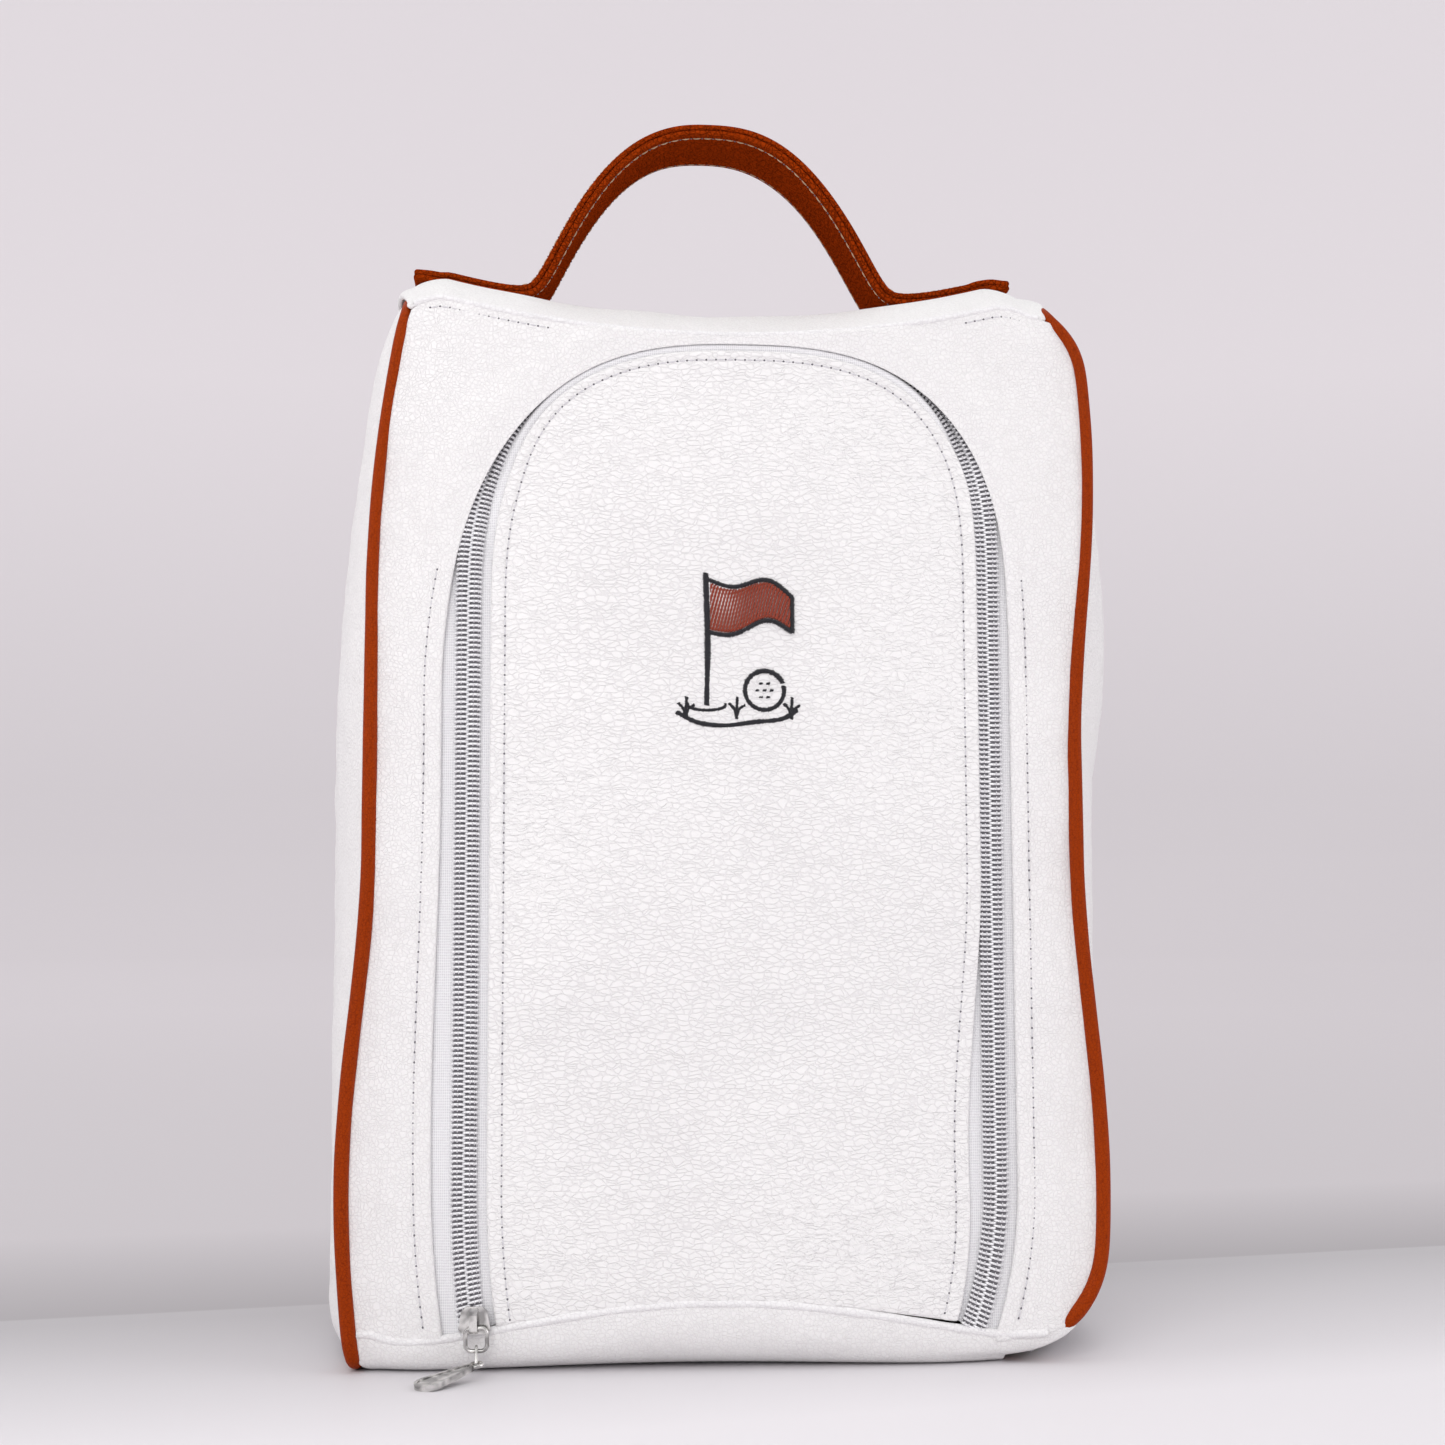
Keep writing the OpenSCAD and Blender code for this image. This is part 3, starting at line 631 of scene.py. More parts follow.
def silver_coil(name):
    """Metallised nylon of the zip's coils."""
    s = shader(name, (0.8, 0.8, 0.82), 0.3, metallic=0.35, specular=0.6)
    wear = noise(s, s.place, 1800.0, 2.0)
    tinted(s, wear, (0.84, 0.84, 0.86), (0.98, 0.98, 0.99))
    roughened(s, ranged(s, wear, 0.3, 0.7, 0.22, 0.42))
    bumped(s, wear, 0.03 * MM)
    return s.material


def board(name):
    """Grey fibre board."""
    s = shader(name, (0.4, 0.33, 0.25), 0.9, specular=0.1)
    fibre = noise(s, stretched(s, (1.0, 0.2, 1.0)), 1500.0, 4.0)
    tinted(s, fibre, (0.26, 0.2, 0.15), (0.46, 0.38, 0.3))
    bumped(s, fibre, 0.1 * MM)
    return s.material


WHITE = leather("white_leather", (243, 242, 241), (233, 231, 231), 1.4, 0.17, 0.46)
WHITE_FRONT = leather("white_leather_door", (243, 242, 241), (228, 226, 226), 1.7, 0.22,
                      0.46, creases=0.6, stretch=(0.5, 1, 1.1))
ROLLED = leather("white_leather_rolled", (242, 241, 241), (230, 228, 229), 1.6, 0.15, 0.43)
TAN = leather("tan_leather", (157, 56, 3), (120, 37, 1), 1.0, 0.08, 0.42,
              specular=0.06)
STRAP_LEATHER = leather("tan_leather_strap", (150, 52, 8), (98, 28, 3), 1.7, 0.55,
                        0.5, creases=0.6, specular=0.0)
TAPE = woven("zip_tape", (249, 249, 250), (226, 225, 228), 0.9, 0.7, 0.12)
LINING = woven("lining_cloth", (166, 164, 167), (152, 150, 154), 1.1, 1.0, 0.05)
COIL = silver_coil("zip_coil")
NICKEL = metal("nickel", (0.74, 0.73, 0.71), 0.16)
WHITE_THREAD = thread("white_thread", (236, 235, 237), (198, 196, 200))
CREAM_THREAD = thread("cream_thread", (205, 180, 150), (160, 130, 100))
# coil filler: dark grey, partly the filler cord's own colour and partly painted shade in the gaps of the
# chain
FILLER_AND_SHADE = thread("coil_filler_painted_shade", (140, 138, 143), (98, 96, 101), 0.8)
# needle holes: grey marks of painted shade where the thread dives into the leather
HOLE_SHADE = thread("needle_hole_shade", (128, 126, 132), (84, 82, 88), 0.9)
BLACK_THREAD = thread("black_thread", (34, 34, 42), (12, 12, 16))
RUST_THREAD = thread("rust_thread", (168, 66, 38), (110, 36, 18))
BOARD = board("base_board")
WHITE_SEAM = [WHITE_THREAD, HOLE_SHADE]
CREAM_SEAM = [CREAM_THREAD, HOLE_SHADE]


# ---- Stitches ----

def seam(line, up, materials, name, slot, pitch=STITCH_PITCH, **place):
    """A row of stitches along a line: threads with a needle hole between each two, each hole a grey mark
    of painted shade.
    """
    even = resample(np.concatenate([line, up], axis=1), step=pitch)
    spots, out = even[:, :3], unit(even[:, 3:])
    start, end = spots[:-1], spots[1:]
    threads = strands(mix(start, end, 0.1), mix(start, end, 0.9), out[:-1], STITCH_R, 0.18)
    half = unit(np.gradient(spots, axis=0)) * HOLE_HALF
    lift = out * 0.05
    hole_shade_marks = strands(spots - half + lift, spots + half + lift, out, HOLE_R, 0.12)
    return piece(name, [threads, hole_shade_marks], materials, slot, **place)


# ---- Front ----

# Rows of a panel near its edge, which are close enough for the turned edge and its stitches
NEAR_EDGE = np.array([0, 0.5, 1.1, 1.8, 2.5, 3.1, 3.5, 3.9, 4.3, 4.8, 5.5, 6.5, 8.0])


def edge_profile(run, stitch):
    """Height of turned leather at a distance from its edge: double to the stitches, then single."""
    turned = 0.5 * (1 - smooth((run - stitch + 1.2) / 1.6))
    groove = 0.14 * np.exp(-(((run - stitch) / 0.8) ** 2))
    return turned - groove


def outline(st):
    """Outer edge of the front beside each station: straight out below the arch, else fanned out."""
    centre = np.array([ARCH_X, FAN_Z])
    top_x = np.linspace(-half_width(LEFT, LEFT.seam_top) + SEAM_GAP,
                        half_width(RIGHT, RIGHT.seam_top) - SEAM_GAP, 300)
    left_z = np.linspace(centre[1], LEFT.seam_top, 80)
    right_z = np.linspace(RIGHT.seam_top, centre[1], 80)
    line = np.concatenate([
        np.stack([SEAM_GAP - half_width(LEFT, left_z), left_z], axis=1),
        np.stack([top_x, top_seam(top_x) - 0.9], axis=1),
        np.stack([half_width(RIGHT, right_z) - SEAM_GAP, right_z], axis=1)])
    spoke = line - centre
    angle, length = np.arctan2(spoke[:, 1], spoke[:, 0]), np.linalg.norm(spoke, axis=1)
    order = np.argsort(angle)
    aim = st.xz - centre
    turn = np.arctan2(aim[:, 1], aim[:, 0])
    far = np.interp(turn, angle[order], length[order])
    fanned = centre + unit(aim) * far[:, None]
    z = st.xz[:, 1]
    x = np.where(st.xz[:, 0] < 0, SEAM_GAP - half_width(LEFT, z), half_width(RIGHT, z) - SEAM_GAP)
    return np.where((z > centre[1])[:, None], fanned, np.stack([x, z], axis=1))


def surround_grid(st, inset=0.0, fill=26):
    """Rows from the lip beside the chain to the outer edge, and how far each point is from the lip."""
    lip = st.xz + st.away * st.lip[:, None]
    edge = outline(st)
    span = np.linalg.norm(edge - lip, axis=1)
    lip = lip + unit(edge - lip) * np.minimum(inset, 0.6 * span)[:, None]
    span = np.linalg.norm(edge - lip, axis=1)
    shrink = np.minimum(1, span / 16)
    near = NEAR_EDGE[None] * shrink[:, None]
    rest = near[:, -1:] + (span[:, None] - near[:, -1:]) * np.linspace(0, 1, fill + 1)[None, 1:]
    run = np.concatenate([near, rest], axis=1)
    xz = lip[:, None] + unit(edge - lip)[:, None] * run[..., None]
    return front(xz[..., 0], xz[..., 1]), run


def front_waves(grid, amount):
    """Soft dents of leather that is stretched between its seams."""
    return amount * (ripple(grid, 46, 1) + 0.4 * ripple(grid, 17, 2))


def make_surround(st):
    grid, run = surround_grid(st)
    z = st.xz[:, 1][:, None]
    height = edge_profile(run, LIP_STITCH) * (1 - 0.8 * smooth((z - FAN_Z) / 25))
    over_arch = smooth((z - 245) / 50)
    height = height + 1.0 * over_arch * np.exp(-((run - 9) / 6.0) ** 2)
    thick = mix(LEATHER, LIP_THIN, over_arch * (1 - smooth(run / 7)))
    height = height + front_waves(grid, 0.45) * smooth(run / 12)
    skin = raised(grid[:, ::-1], height[:, ::-1]).reshape(-1, 3)
    thick = thick[:, ::-1].reshape(-1)
    piece("surround_leather", [thicken(skin, grid_faces(*grid.shape[:2]), thick)], [WHITE],
          "white_leather", ["front_surround"])


def door_grid(st, inset=0.0, fill=22):
    """Rows from the edge of the door to its middle line, and how far each point is from the edge."""
    edge = st.xz - st.away * (st.door + inset)[:, None]
    spine_z = mix(ZIP_FOOT, SPINE_TOP, 1 - (1 - st.share) ** 1.4)
    spine = np.stack([np.full(len(spine_z), ARCH_X), spine_z], axis=1)
    span = np.linalg.norm(edge - spine, axis=1)[:, None]
    near = np.broadcast_to(NEAR_EDGE, (len(span), len(NEAR_EDGE)))
    rest = near[:, -1:] + (span - near[:, -1:]) * np.linspace(0, 1, fill + 1)[None, 1:]
    run = np.concatenate([near, rest], axis=1)
    xz = edge[:, None] + unit(spine - edge)[:, None] * run[..., None]
    return front(xz[..., 0], xz[..., 1]), run


def make_door(st):
    grid, run = door_grid(st)
    calm = smooth(run / 14)
    low = 1 - smooth((grid[..., 2] - 60) / 160)
    height = edge_profile(run, st.stitch[:, None]) + front_waves(grid, 0.35) * calm
    height = height + 0.28 * low * ripple(grid * [0.5, 1, 1.6], 9, 5) * calm
    skin = raised(grid, height).reshape(-1, 3)
    skin, faces = weld(skin, grid_faces(*grid.shape[:2]))
    piece("door_leather", [thicken(skin, faces, LEATHER)], [WHITE_FRONT], "white_leather",
          ["door_panel", "door_hem"], bend=True)


def make_front_stitches(st):
    """Stitches round the door, and up both legs of the surround."""
    inside = -st.door - st.stitch
    up = st.on_leather(inside, 1.0) - st.on_leather(inside, 0.0)
    seam(st.on_leather(inside, -0.25), up, WHITE_SEAM, "door_stitches", "white_leather", bend=True)
    outside = st.lip + LIP_STITCH
    up = st.on_leather(outside, 1.0) - st.on_leather(outside, 0.0)
    line = st.on_leather(outside, -0.2)
    foot = st.xz[:, 1] + st.away[:, 1] * outside
    leg = (st.xz[:, 1] < 264) & (foot > ZIP_FOOT + 2)
    for name, side in (("left", st.xz[:, 0] < 0), ("right", st.xz[:, 0] > 0)):
        use = side & leg
        seam(line[use], up[use], WHITE_SEAM, f"surround_stitches_{name}", "white_leather")


def make_seam_stitches():
    """Short rows of stitches that show under the front top seam, near its ends."""
    for name, start, end in (("left", -100, -60), ("right", 84, 103)):
        x = np.linspace(start, end, 40)
        line = on_front(x, top_seam(x) - 3.2)
        seam(line + [0, 0.15, 0], np.tile([0, -1.0, 0], (40, 1)), WHITE_SEAM,
             f"seam_stitches_{name}", "white_leather")


# ---- Zip ----

def make_tape(st, name, sign, nodes, bend):
    """The tape of one side: at the chain it follows the chain, and farther out the leather."""
    outer = sign > 0
    columns = np.array([0.7, 1.6, 2.6, 3.6, 4.6, 5.4, 6.2, 7.0, 8.4, 9.8, 11.2, 12.6])
    rows = []
    for column in columns:
        out = column * (1 - 0.5 * st.arch * outer)
        rise = 1.2 * np.exp(-((out - 4.4) / 2.0) ** 2) * st.arch
        near = st.on_chain(sign * out, -1.75)
        far = st.on_leather(sign * out, rise - TAPE_DEPTH)
        free = smooth((out - 2.2 + 1.2 * st.arch) / (4.2 - 2.0 * st.arch)) * (1 - st.arch * outer)
        rows.append(mix(near, far, free[:, None]))
    grid = np.stack(rows if sign < 0 else rows[::-1], axis=1)
    piece(name, [thicken(grid.reshape(-1, 3), grid_faces(*grid.shape[:2]), 0.5, turns=3)], [TAPE],
          "tape", nodes, bend=bend)


def make_coil(name, sign, nodes, start, bend):
    """One row of the chain: a flattened turn of wire at every pitch, the thread that holds it, and a dark
    grey filler sheet beneath that is partly the filler cord and partly painted shade.
    """
    st = Stations(pitch=COIL_PITCH, start=start)
    turn = np.linspace(0, 2 * np.pi, 12, endpoint=False)
    out = sign * (COIL_MIDDLE + COIL_REACH * np.cos(turn))
    lift = COIL_LIFT + COIL_RISE * np.sin(turn)
    wire = np.stack([st.on_chain(o, h) for o, h in zip(out, lift)], axis=1)
    middle = st.on_chain(0.0, 0.0)
    way = unit(np.gradient(middle, axis=0))
    wire = wire + way[:, None] * (0.22 * np.sin(turn))[None, :, None]
    up = unit(np.cross(way, st.on_chain(1.0, 0.0) - middle))
    seat = np.concatenate([st.on_chain(sign * place, height) for place, height in COIL_SEATS])
    half = np.tile(way * 0.62, (len(COIL_SEATS), 1))
    threads = strands(seat - half, seat + half, np.tile(up, (len(COIL_SEATS), 1)), 0.27, 0.16, rings=5)
    # the dark sheet under the coils: filler cord, and painted shade between the turns
    core_and_shade = [st.on_chain(sign * place, height) for place, height in COIL_CORE_AND_SHADE]
    core_and_shade = np.stack(core_and_shade[::-1] if sign > 0 else core_and_shade, axis=1)
    filler_and_shade_sheet = thicken(core_and_shade.reshape(-1, 3), grid_faces(*core_and_shade.shape[:2]), 0.5, turns=2)
    piece(name, [loops(wire, way, COIL_WIRE_R), threads, filler_and_shade_sheet], [COIL, WHITE_THREAD, FILLER_AND_SHADE],
          "coil", nodes, bend=bend)


# ---- Body ----

def panel(name, grid, height, nodes):
    """White leather over a grid, raised by a height."""
    skin = raised(grid, height).reshape(-1, 3)
    piece(name, [thicken(skin, grid_faces(*grid.shape[:2]), LEATHER)], [WHITE], "white_leather", nodes)


def pucker(run, along, reach, pitch):
    """Small pleats beside a seam that gathers the leather."""
    return np.exp(-run / reach) * np.sin(2 * np.pi * along / pitch + np.sin(along / 9) * 2)


def gusset_grid(side, rows=150, cols=60, cut=0.035):
    u = np.sin(np.linspace(-1, 1, cols) * np.pi / 2 * 0.93) / np.sin(np.pi / 2 * 0.93) * (1 - cut)
    z0 = mix(4.2, side.seam_top - 0.05, (1 - np.cos(np.linspace(0, 1, rows) * np.pi)) / 2)
    order = u if side.sign > 0 else u[::-1]
    return gusset(side, order[None, :], z0[:, None]), order[None, :], z0[:, None]


def make_gusset(side, name):
    grid, u, z0 = gusset_grid(side)
    run = (1 - np.abs(u)) * 60
    low = hump((z0 - 45) / 60) + 0.25
    calm = smooth(run / 10)
    height = 0.55 * pucker(run, z0, 7.0, 5.2) * low
    height = height + calm * (1.0 * ripple(grid * [1, 1, 0.5], 40, 11 + side.sign)
                              + 0.3 * ripple(grid * [1, 1.4, 1], 13, 21 + side.sign))
    panel(f"gusset_{name}_leather", grid, height, [f"gusset_{name}"])


def piping_line(side):
    """Round the edge of a gusset: up the front, over the top, down the back and along the floor."""
    z0 = np.linspace(PIPING_R, side.seam_top, 300)
    u = np.linspace(-1, 1, 120)
    rough = np.concatenate([
        gusset(side, -1.0, z0), gusset(side, u, np.full(120, side.seam_top))[1:-1],
        gusset(side, 1.0, z0[::-1]), gusset(side, u[::-1], np.full(120, PIPING_R))[1:-1]])
    line = resample(np.concatenate([rough, rough[:1]]), step=1.5)[:-1]
    for _ in range(14):
        line = (np.roll(line, 1, axis=0) + line + np.roll(line, -1, axis=0)) / 3
    tuck = side.tuck * (1 - smooth((line[:, 2] - 4) / 14)) * smooth(-line[:, 1] / 50)
    return line + points(0, tuck, 0)


def make_piping(side, name):
    line = piping_line(side)
    high = smooth((line[:, 2] - 180) / 120)
    on_floor = smooth((5 - line[:, 2]) / 2) * smooth((52 - np.abs(line[:, 1])) / 8)
    radius = PIPING_R * (1 - 0.2 * high - side.floor_thin * on_floor + 0.03 * ripple(line, 22, 31))
    piece(f"piping_{name}_cord", [tube(line, radius, np.array([1.0, 0, 0]), closed=True)], [TAN],
          "tan_leather", [f"piping_{name}"])


def make_welts():
    """Rolled leather along the front top seam and along the base seam."""
    for name, height, radius in (("top", top_seam, TOP_WELT_R), ("base", base_seam, BASE_WELT_R)):
        left, right = (half_width(side, side.seam_top if name == "top" else BASE_SEAM_H + 2) - 2.5
                       for side in (LEFT, RIGHT))
        right = right - (4 if name == "base" else 1)
        x = np.linspace(-left, right, 170)
        line = on_front(x, height(x)) + [0, radius * 0.6, 0]
        radius_here = radius * (1 + 0.06 * ripple(line, 14, 41))
        piece(f"welt_{name}_roll", [tube(line, radius_here, np.array([0, 0, 1.0]))], [ROLLED],
              "white_leather", [f"welt_{name}"])


def crown_grid(rows=90, cols=130, w0=-0.985, w1=1.0, cut=0.0):
    w = mix(w0, w1, (1 - np.cos(np.linspace(0, 1, rows) * np.pi)) / 2)[:, None]
    t = np.sin(np.linspace(-1, 1, cols) * np.pi / 2)[None, :]
    x = mix(cut - crown_end(-1, w), crown_end(1, w) - cut, (t + 1) / 2)
    return crown(x, w)


def make_crown():
    grid = crown_grid()
    flat = smooth((np.abs(grid[..., 1]) - 21) / 12)
    height = 0.5 * ripple(grid, 38, 51) * flat
    ends = smooth((108 - np.abs(grid[..., 0])) / 12)
    panel("top_leather", grid, height * ends, ["top_panel"])


def back_grid(rows=90, cols=70, cut=0.0, low=BASE_SEAM_H + SEAM_GAP):
    v = np.linspace(0, 1, rows)[:, None]
    u = np.linspace(0, 1, cols)[None, :]
    z = mix(low, TOP_H - TOP_SAG, v)
    left, right = (half_width(side, mix(low, side.seam_top - 1, v)) - SEAM_GAP - cut
                   for side in (LEFT, RIGHT))
    x = mix(right, -left, u)
    lift = (top_seam(x) - 0.6 - (TOP_H - TOP_SAG)) * smooth(v) ** 2
    return back(x, z + lift)


def make_back():
    grid = back_grid()
    rise = grid[..., 2]
    run = np.minimum(rise - BASE_SEAM_H, top_seam(grid[..., 0]) - rise)
    height = (0.9 * ripple(grid, 60, 61) + 0.3 * ripple(grid, 20, 62)) * smooth(run / 15)
    panel("back_leather", grid, height, ["back_panel"])
    x = np.linspace(-104, 104, 120)
    for name, z in (("low", np.full(120, BASE_SEAM_H + 6)), ("high", top_seam(x) - 5)):
        seam(back(x, z) + [0, 0.05, 0], np.tile([0, 1.0, 0], (120, 1)), WHITE_SEAM,
             f"back_stitches_{name}", "white_leather")


def base_grid(cols=130, turns=18, flat=20):
    """The base: from the back base seam under the bag and round up to the front base seam."""
    t = np.linspace(0, 1, cols)

    def across(z, at=t):
        left, right = half_width(LEFT, z) - LEFT.base_gap, half_width(RIGHT, z) - RIGHT.base_gap
        return mix(-left, right, at)

    seam_x = across(BASE_SEAM_H + 2)
    seam_z = base_seam(seam_x) - 0.8
    seam_y = -half_depth(seam_z) - FRONT_BULGE * bulge(seam_x)
    tuck = mix(11, 30, hump((seam_x + 5) / 100) ** 0.7)
    back_y = half_depth(BASE_SEAM_H) + BACK_BULGE * bulge(seam_x)
    turn = np.linspace(0, np.pi / 2, turns)
    turn[-1] = np.pi / 2 - 1e-6  # a cosine of exactly zero has no power
    rows = [(BASE_SEAM_H * (1 - np.cos(a)), back_y - BASE_SEAM_H * (1 - np.sin(a))) for a in turn[::-1]]
    for k in np.linspace(0, 1, flat)[1:-1]:
        rows.append((0.0, mix(back_y - BASE_SEAM_H, seam_y + tuck, k)))
    rows += [(seam_z * (1 - np.cos(a) ** BASE_ROUND), seam_y + tuck * (1 - np.sin(a) ** BASE_ROUND))
             for a in turn]
    return np.stack([points(across(z), y, z) for z, y in rows])


def make_base():
    grid = base_grid()
    height = 0.35 * ripple(grid, 24, 71) * smooth((grid[..., 2] - 1.5) / 5)
    panel("base_leather", grid, height, ["base_panel"])


# ---- Lining ----

def lining(name, grid, depth, nodes, seed, bend=False, join=False, hem=None):
    """A cloth sheet inside a panel, with small slack folds, that may hang down to a hem."""
    skin = raised(grid, -depth - 0.4 + 0.4 * ripple(grid, 18, seed))
    if hem:
        skin = np.concatenate([skin[:1] * [1, 1, 0] + [0, 0, hem], skin])
    faces = grid_faces(*skin.shape[:2])
    skin = skin.reshape(-1, 3)
    if join:
        skin, faces = weld(skin, faces)
    made = piece(name, [thicken(skin, faces, CLOTH, turns=2)], [LINING], "lining", nodes, bend=bend)
    a, b, c, d = (skin[faces[:, k]] for k in range(4))
    area = float(np.linalg.norm(np.cross(c - a, d - b), axis=1).sum() / 2) * MM * MM
    low, high = skin.min(axis=0) * MM, skin.max(axis=0) * MM
    spread = sorted(high - low)[1:]
    size = (float(spread[0]), float(spread[1]))
    if not 0.3 * size[0] * size[1] <= area <= size[0] * size[1]:
        size = (size[0], area / size[0])
    return made


def make_linings(st):
    surround, _ = surround_grid(st, inset=3.5, fill=16)
    lining("surround_lining", surround[:, 4:][:, ::-1], LEATHER + 0.9, ["lining_front"], 81)
    door, _ = door_grid(st, inset=6.0, fill=16)
    lining("door_lining", door, LEATHER + 0.9, ["lining_door"], 82, bend=True, join=True)
    lining("back_lining", back_grid(50, 50, cut=0, low=7), LEATHER + 0.9, ["lining_back"], 83)
    for side, name in SIDES:
        grid, _, _ = gusset_grid(side, 70, 36, cut=0.02)
        lining(f"{name}_lining", grid[3:-4], LEATHER + 1.7, [f"lining_{name}"], 84 + side.sign,
               hem=3.0)
    lining("top_lining", crown_grid(40, 60, -0.84, 0.84, cut=9), LEATHER + 1.4, ["lining_top"], 87)


# ---- Handle ----

def strap_line(reach_left, reach_right, count=170):
    x = np.linspace(STRAP_X - reach_left, STRAP_X + reach_right, 500)
    line = points(x, 0.0, strap_under(x))
    return resample(line, count=count)


def strap_layer(line, low, crown_h, name, nodes):
    """One layer of the strap: its top side is its outside, its edges are turned and round."""
    way = unit(np.gradient(line, axis=0))
    up = np.cross(way, [0, 1.0, 0])
    across = STRAP_HALF_W - STRAP_T / 2
    s = np.sin(np.linspace(-1, 1, 25) * np.pi / 2)
    ends = np.minimum(np.linspace(0, 1, len(line)), np.linspace(1, 0, len(line))) * len(line)
    press = 0.2 * (1 - smooth(ends / 4))
    wave = 0.35 * ripple(line, 30, 91)
    rows = []
    for v in s:
        camber = crown_h * (1 - v**4) - 0.25 * np.exp(-((abs(v) - 0.86) / 0.05) ** 2)
        height = low + STRAP_T + camber - press * (low + 0.6)
        rows.append(line + up * height[:, None] + points(0, v * (across + wave), 0))
    grid = np.stack(rows)
    skin = grid.reshape(-1, 3)
    piece(name, [thicken(skin, grid_faces(*grid.shape[:2]), STRAP_T, turns=7)], [STRAP_LEATHER],
          "tan_leather", nodes)
    return up


def make_strap():
    line = strap_line(STRAP_LEFT + STRAP_LEFT_END, STRAP_RIGHT + STRAP_RIGHT_END)
    up = strap_layer(line, 0.0, 0.0, "strap_underside", ["strap_inner"])
    strap_layer(line, STRAP_T + 0.02, 0.35, "strap_topside", ["strap_outer"])
    line, up = line[10:-10], up[10:-10]
    for name, y in (("front", -1), ("back", 1)):
        shift = np.array([0, y * (STRAP_HALF_W - 3.2), 0])
        seam(line + shift - up * 0.05, -up, CREAM_SEAM, f"strap_stitches_under_{name}",
             "tan_leather", pitch=4.0)
        seam(line + shift + up * (2 * STRAP_T + 0.12), up, CREAM_SEAM,
             f"strap_stitches_top_{name}", "tan_leather", pitch=4.0)


# ---- Embroidery: a flag on its pole, a ball and a green ----

MOTIF_X, MOTIF_Z = 3.5, 237.0


def on_motif(line):
    """Points and normals of the door for a drawing round the middle of the motif."""
    x, z = line[:, 0] + MOTIF_X, line[:, 1] + MOTIF_Z
    return front(x, z), front_out(x, z)


def satin(line, width):
    """Threads laid side by side across a line."""
    even = resample(line, step=THREAD_PITCH)
    way = unit(np.gradient(even, axis=0))
    across = np.stack([-way[:, 1], way[:, 0]], axis=1)
    half = width / 2 + rng.normal(0, 0.1, len(even))
    skew = way * 0.25
    start, out = on_motif(even - across * half[:, None] - skew)
    end, _ = on_motif(even + across * half[:, None] + skew)
    return strands(start + out * 0.05, end + out * 0.05, out, THREAD_R, 0.42)


def filled(shape_top, shape_low, x0, x1, length=4.2):
    """Rows of long stitches that fill the space between two curves."""
    starts, ends = [], []
    for k, x in enumerate(np.arange(x0, x1, THREAD_PITCH)):
        low, high = shape_low(x), shape_top(x)
        cuts = np.arange(low + (k % 3) * length / 3 - length, high, length)
        for cut in cuts:
            a, b = max(low, cut), min(high, cut + length)
            if b - a > 0.5:
                starts.append((x, a))
                ends.append((x + 0.15, b))
    start, out = on_motif(np.array(starts))
    end, _ = on_motif(np.array(ends))
    return strands(start + out * 0.05, end + out * 0.05, out, THREAD_R, 0.3)


def curve(x, z, count=80):
    """A smooth line through a few points."""
    t = np.arange(len(x))
    fine = np.linspace(0, len(x) - 1, count)
    k = np.clip(fine.astype(int), 0, len(x) - 2)
    line = []
    for c in (np.array(x, float), np.array(z, float)):
        slope = np.gradient(c, t)
        f = fine - k
        line.append(c[k] * (1 + 2 * f) * (1 - f) ** 2 + slope[k] * f * (1 - f) ** 2
                    + c[k + 1] * f**2 * (3 - 2 * f) + slope[k + 1] * f**2 * (f - 1))
    return np.stack(line, axis=1)


def ring(x, z, rx, rz, start=0.0, end=2 * np.pi):
    a = np.linspace(start, end, 90)
    return np.stack([x + rx * np.cos(a), z + rz * np.sin(a)], axis=1)


POLE_X, POLE_TOP, POLE_FOOT = -10.0, 26.0, -18.5
FLAG_W, FLAG_H = 29.0, 18.0
BALL_X, BALL_Z, BALL_R = 9.5, -13.5, 6.6


def flag_top(x):
    run = (x - POLE_X) / FLAG_W
    return POLE_TOP - 1.8 - 2.4 * np.sin(run * 2.2 * np.pi) * (0.4 + run) - 4.0 * run


def flag_low(x):
    return flag_top(x) - FLAG_H + 6.0 * (x - POLE_X) / FLAG_W


def motif_lines():
    """The outlines of the drawing, each with the width of its satin stitch."""
    x = np.linspace(POLE_X + 0.5, POLE_X + FLAG_W, 40)
    fly = np.linspace(flag_top(x[-1]), flag_low(x[-1]), 12)
    lines = [
        (curve([POLE_X, POLE_X + 0.4, POLE_X - 0.2], [POLE_FOOT, 3, POLE_TOP]), 2.3),
        (np.stack([x, flag_top(x)], axis=1), 1.7),
        (np.stack([x, flag_low(x)], axis=1), 1.7),
        (np.stack([np.full(12, x[-1]), fly], axis=1), 1.7),
        (ring(BALL_X, BALL_Z, BALL_R, BALL_R, 0.4, 6.5), 1.8),
        (ring(POLE_X, POLE_FOOT, 6.4, 1.8, -3.4, 0.2), 1.4),
        (curve([-20, -13, -4, 6, 15, 20.5], [-21.0, -24.4, -25.4, -24.2, -23.2, -20.2]), 1.9),
    ]
    for row, dots in ((-1, (-1.2, 1.2)), (0, (-2.4, 0, 2.4)), (1, (-1.2, 1.2))):
        for dot in dots:
            x, z = BALL_X + dot, BALL_Z + 2.3 * row
            lines.append((np.array([[x - 0.4, z], [x + 0.4, z]]), 0.8))
    for root in (-17.0, 18.5, 0.0):
        for lean_x, tall in ((-2.4, 5.0), (0.3, 7.0), (2.8, 4.4)):
            lines.append((curve([root, root + lean_x * 0.3, root + lean_x], [-23, -20, -23 + tall]), 1.3))
    return lines


def make_motif():
    threads = [satin(line, width) for line, width in motif_lines()]
    piece("motif_outline", threads, [BLACK_THREAD], "thread_dark", ["motif_dark"], body="door")
    fill = filled(lambda x: flag_top(x) - 0.7, lambda x: flag_low(x) + 0.7,
                  POLE_X + 1.4, POLE_X + FLAG_W - 0.9)
    piece("motif_flag", [fill], [RUST_THREAD], "thread_rust", ["motif_fill"], body="door")


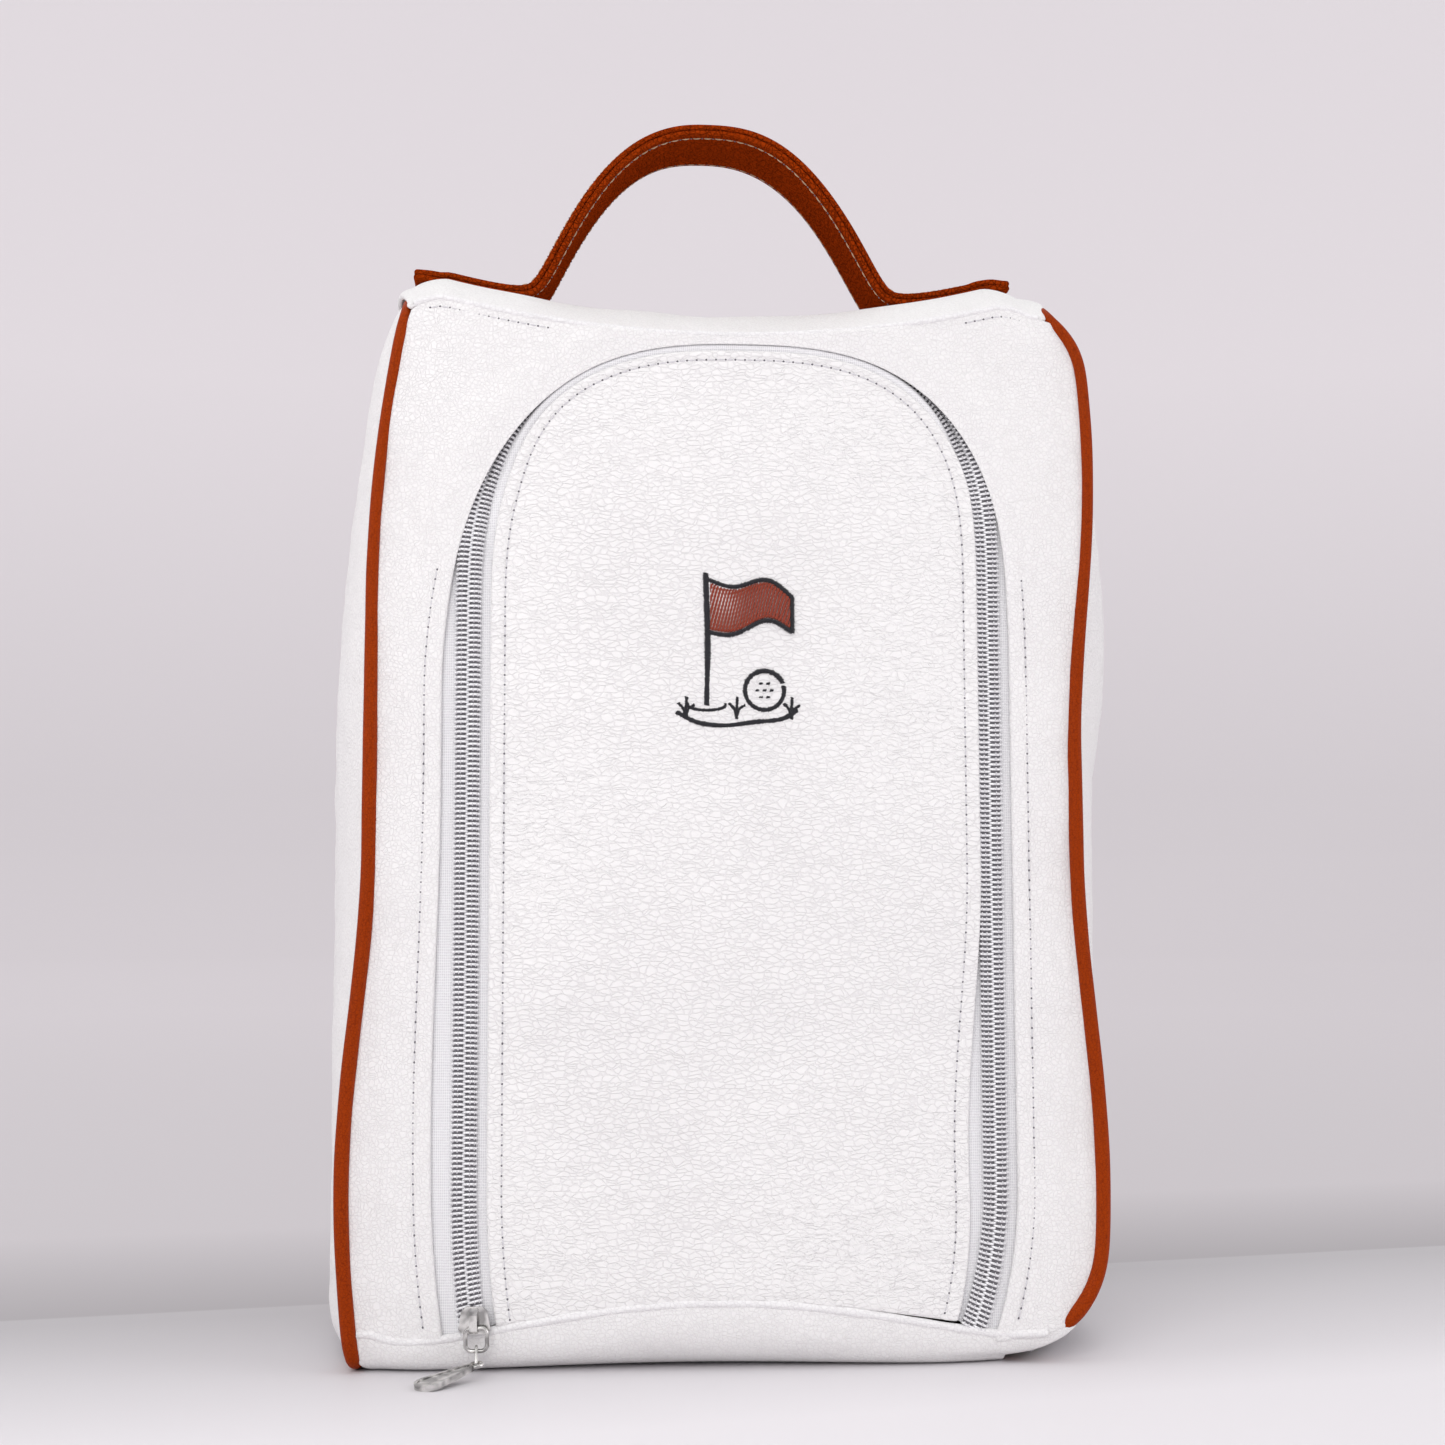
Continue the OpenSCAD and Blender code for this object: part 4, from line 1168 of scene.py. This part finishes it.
# ---- Pieces that keep their CAD shape ----

def finish_cad_nodes():
    for name, material in (("base_board", BOARD), ("slider_body", NICKEL), ("pull_ring", NICKEL),
                           ("pull_link", NICKEL), ("pull_tab", NICKEL)):
        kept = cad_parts[name]
        for place in kept.material_slots:
            place.material = material


# ---- Floor, light and camera ----

FLOOR_SIDES = 96
BACKDROP_WAY = (-0.2226, 0.975, 0)  # the way in which the floor gives way to the backdrop


def make_stage():
    """A pale floor that curves up far behind, painted darker towards the back as painted shade, with a
    slightly darker far part that glows with painted light: dimmest just past the line as a painted
    shadow, brighter farther off and higher up.
    """
    profile = [(0.01, 0), (0.4, 0), (0.9, 0), (1.6, 0), (2.2, 0), (2.6, 0.05), (2.9, 0.2), (3.1, 0.5),
               (3.2, 1.0), (3.2, 2.0)]
    turn = np.linspace(0, 2 * np.pi, FLOOR_SIDES, endpoint=False)
    verts = [(r * np.cos(a), r * np.sin(a), z) for r, z in profile for a in turn]
    faces = wall_faces(len(profile), FLOOR_SIDES).tolist()
    mesh = bpy.data.meshes.new("floor")
    mesh.from_pydata(verts, [], faces + [list(range(FLOOR_SIDES))[::-1]])
    mesh.polygons.foreach_set("use_smooth", np.ones(len(mesh.polygons), bool))
    floor = bpy.data.objects.new("floor", mesh)
    bpy.context.scene.collection.objects.link(floor)
    s = shader("floor_paper", (0.8, 0.79, 0.82), 0.6, specular=0.2)
    depth = node(s, "ShaderNodeVectorMath", {"operation": "DOT_PRODUCT"}, i0=s.place,
                 i1=BACKDROP_WAY).outputs["Value"]
    rise = node(s, "ShaderNodeSeparateXYZ", i0=s.place).outputs["Z"]
    far = ranged(s, depth, 0.0937, 0.0967)
    # painted shade: the floor darkens from the front towards the line behind the bag
    painted_floor_shade = ranged(s, depth, -0.14, 0.08, 0.82, 0.52)
    tinted(s, maths(s, "ADD", painted_floor_shade, maths(s, "MULTIPLY", far, -0.3)), (0, 0, 0), (1, 0.97, 1))
    # painted light: the far part glows, least just past the line as a painted shadow, more with distance
    # and height
    painted_backdrop_light = maths(s, "ADD", ranged(s, depth, 0.1, 0.3, 0.2, 0.36), ranged(s, depth, 0.3, 2.4, 0.0, 0.1))
    painted_backdrop_light = maths(s, "MULTIPLY", far, maths(s, "ADD", painted_backdrop_light, ranged(s, rise, 0.3, 1.0, 0.0, 0.12)))
    s.body.inputs["Emission Color"].default_value = (1.0, 0.93, 0.975, 1)
    s.tree.links.new(painted_backdrop_light, s.body.inputs["Emission Strength"])
    bumped(s, noise(s, s.place, 700.0, 3.0), 0.02 * MM)
    mesh.materials.append(s.material)


def light(name, place, size, power, colour=(1, 1, 1)):
    lamp = bpy.data.lights.new(name, "AREA")
    lamp.shape = "RECTANGLE"
    lamp.size, lamp.size_y = size
    lamp.energy = power
    lamp.color = colour
    made = bpy.data.objects.new(name, lamp)
    made.location = place
    aim = -np.array(place) + [0, 0, 0.2]
    made.rotation_mode = "QUATERNION"
    made.rotation_quaternion = Vector(aim).to_track_quat("-Z", "Y")
    bpy.context.scene.collection.objects.link(made)


def make_lights():
    bpy.context.scene.view_settings.view_transform = "Standard"
    world = bpy.data.worlds.new("studio")
    world.use_nodes = True
    world.node_tree.nodes["Background"].inputs[0].default_value = (0.95, 0.95, 0.96, 1)
    world.node_tree.nodes["Background"].inputs[1].default_value = 0.72
    bpy.context.scene.world = world
    light("key", (-0.6, -1.7, 1.0), (1.1, 1.1), 11.4, (1.0, 0.995, 0.985))
    light("fill", (1.8, -0.6, 0.8), (1.2, 1.2), 8.6)
    light("side", (-1.7, -0.3, 0.8), (1.0, 1.0), 6)
    light("top", (0.0, -0.1, 1.9), (1.8, 1.8), 5)


def make_camera():
    """Where the photographer stood: a little left of the middle and low, looking slightly up."""
    data = bpy.data.cameras.new("camera")
    data.sensor_width = 36.0
    data.lens = 59.8
    data.clip_start = 0.05
    camera = bpy.data.objects.new("camera", data)
    turn, pitch = np.radians(4.5), np.radians(3.755)
    aim = (np.sin(turn) * np.cos(pitch), np.cos(turn) * np.cos(pitch), np.sin(pitch))
    camera.location = (-0.06406, -0.86343, 0.160)
    camera.rotation_mode = "QUATERNION"
    camera.rotation_quaternion = Vector(aim).to_track_quat("-Z", "Y")
    bpy.context.scene.collection.objects.link(camera)
    bpy.context.scene.camera = camera


# ---- Assembly ----

make_camera()
make_lights()
make_stage()

legs = Stations(per_side=140)
make_surround(legs)
make_door(legs)
make_front_stitches(legs)
make_seam_stitches()
make_tape(legs, "tape_outer", 1, ["tape_frame"], False)
make_tape(legs, "tape_inner", -1, ["tape_door"], True)
make_coil("coil_outer", 1, ["coil_frame"], 0.0, False)
make_coil("coil_inner", -1, ["coil_door", "zip_foot"], 0.5, True)
for side, side_name in SIDES:
    make_gusset(side, side_name)
    make_piping(side, side_name)
make_welts()
make_crown()
make_back()
make_base()
make_linings(Stations(per_side=70))
make_strap()
make_motif()
finish_cad_nodes()
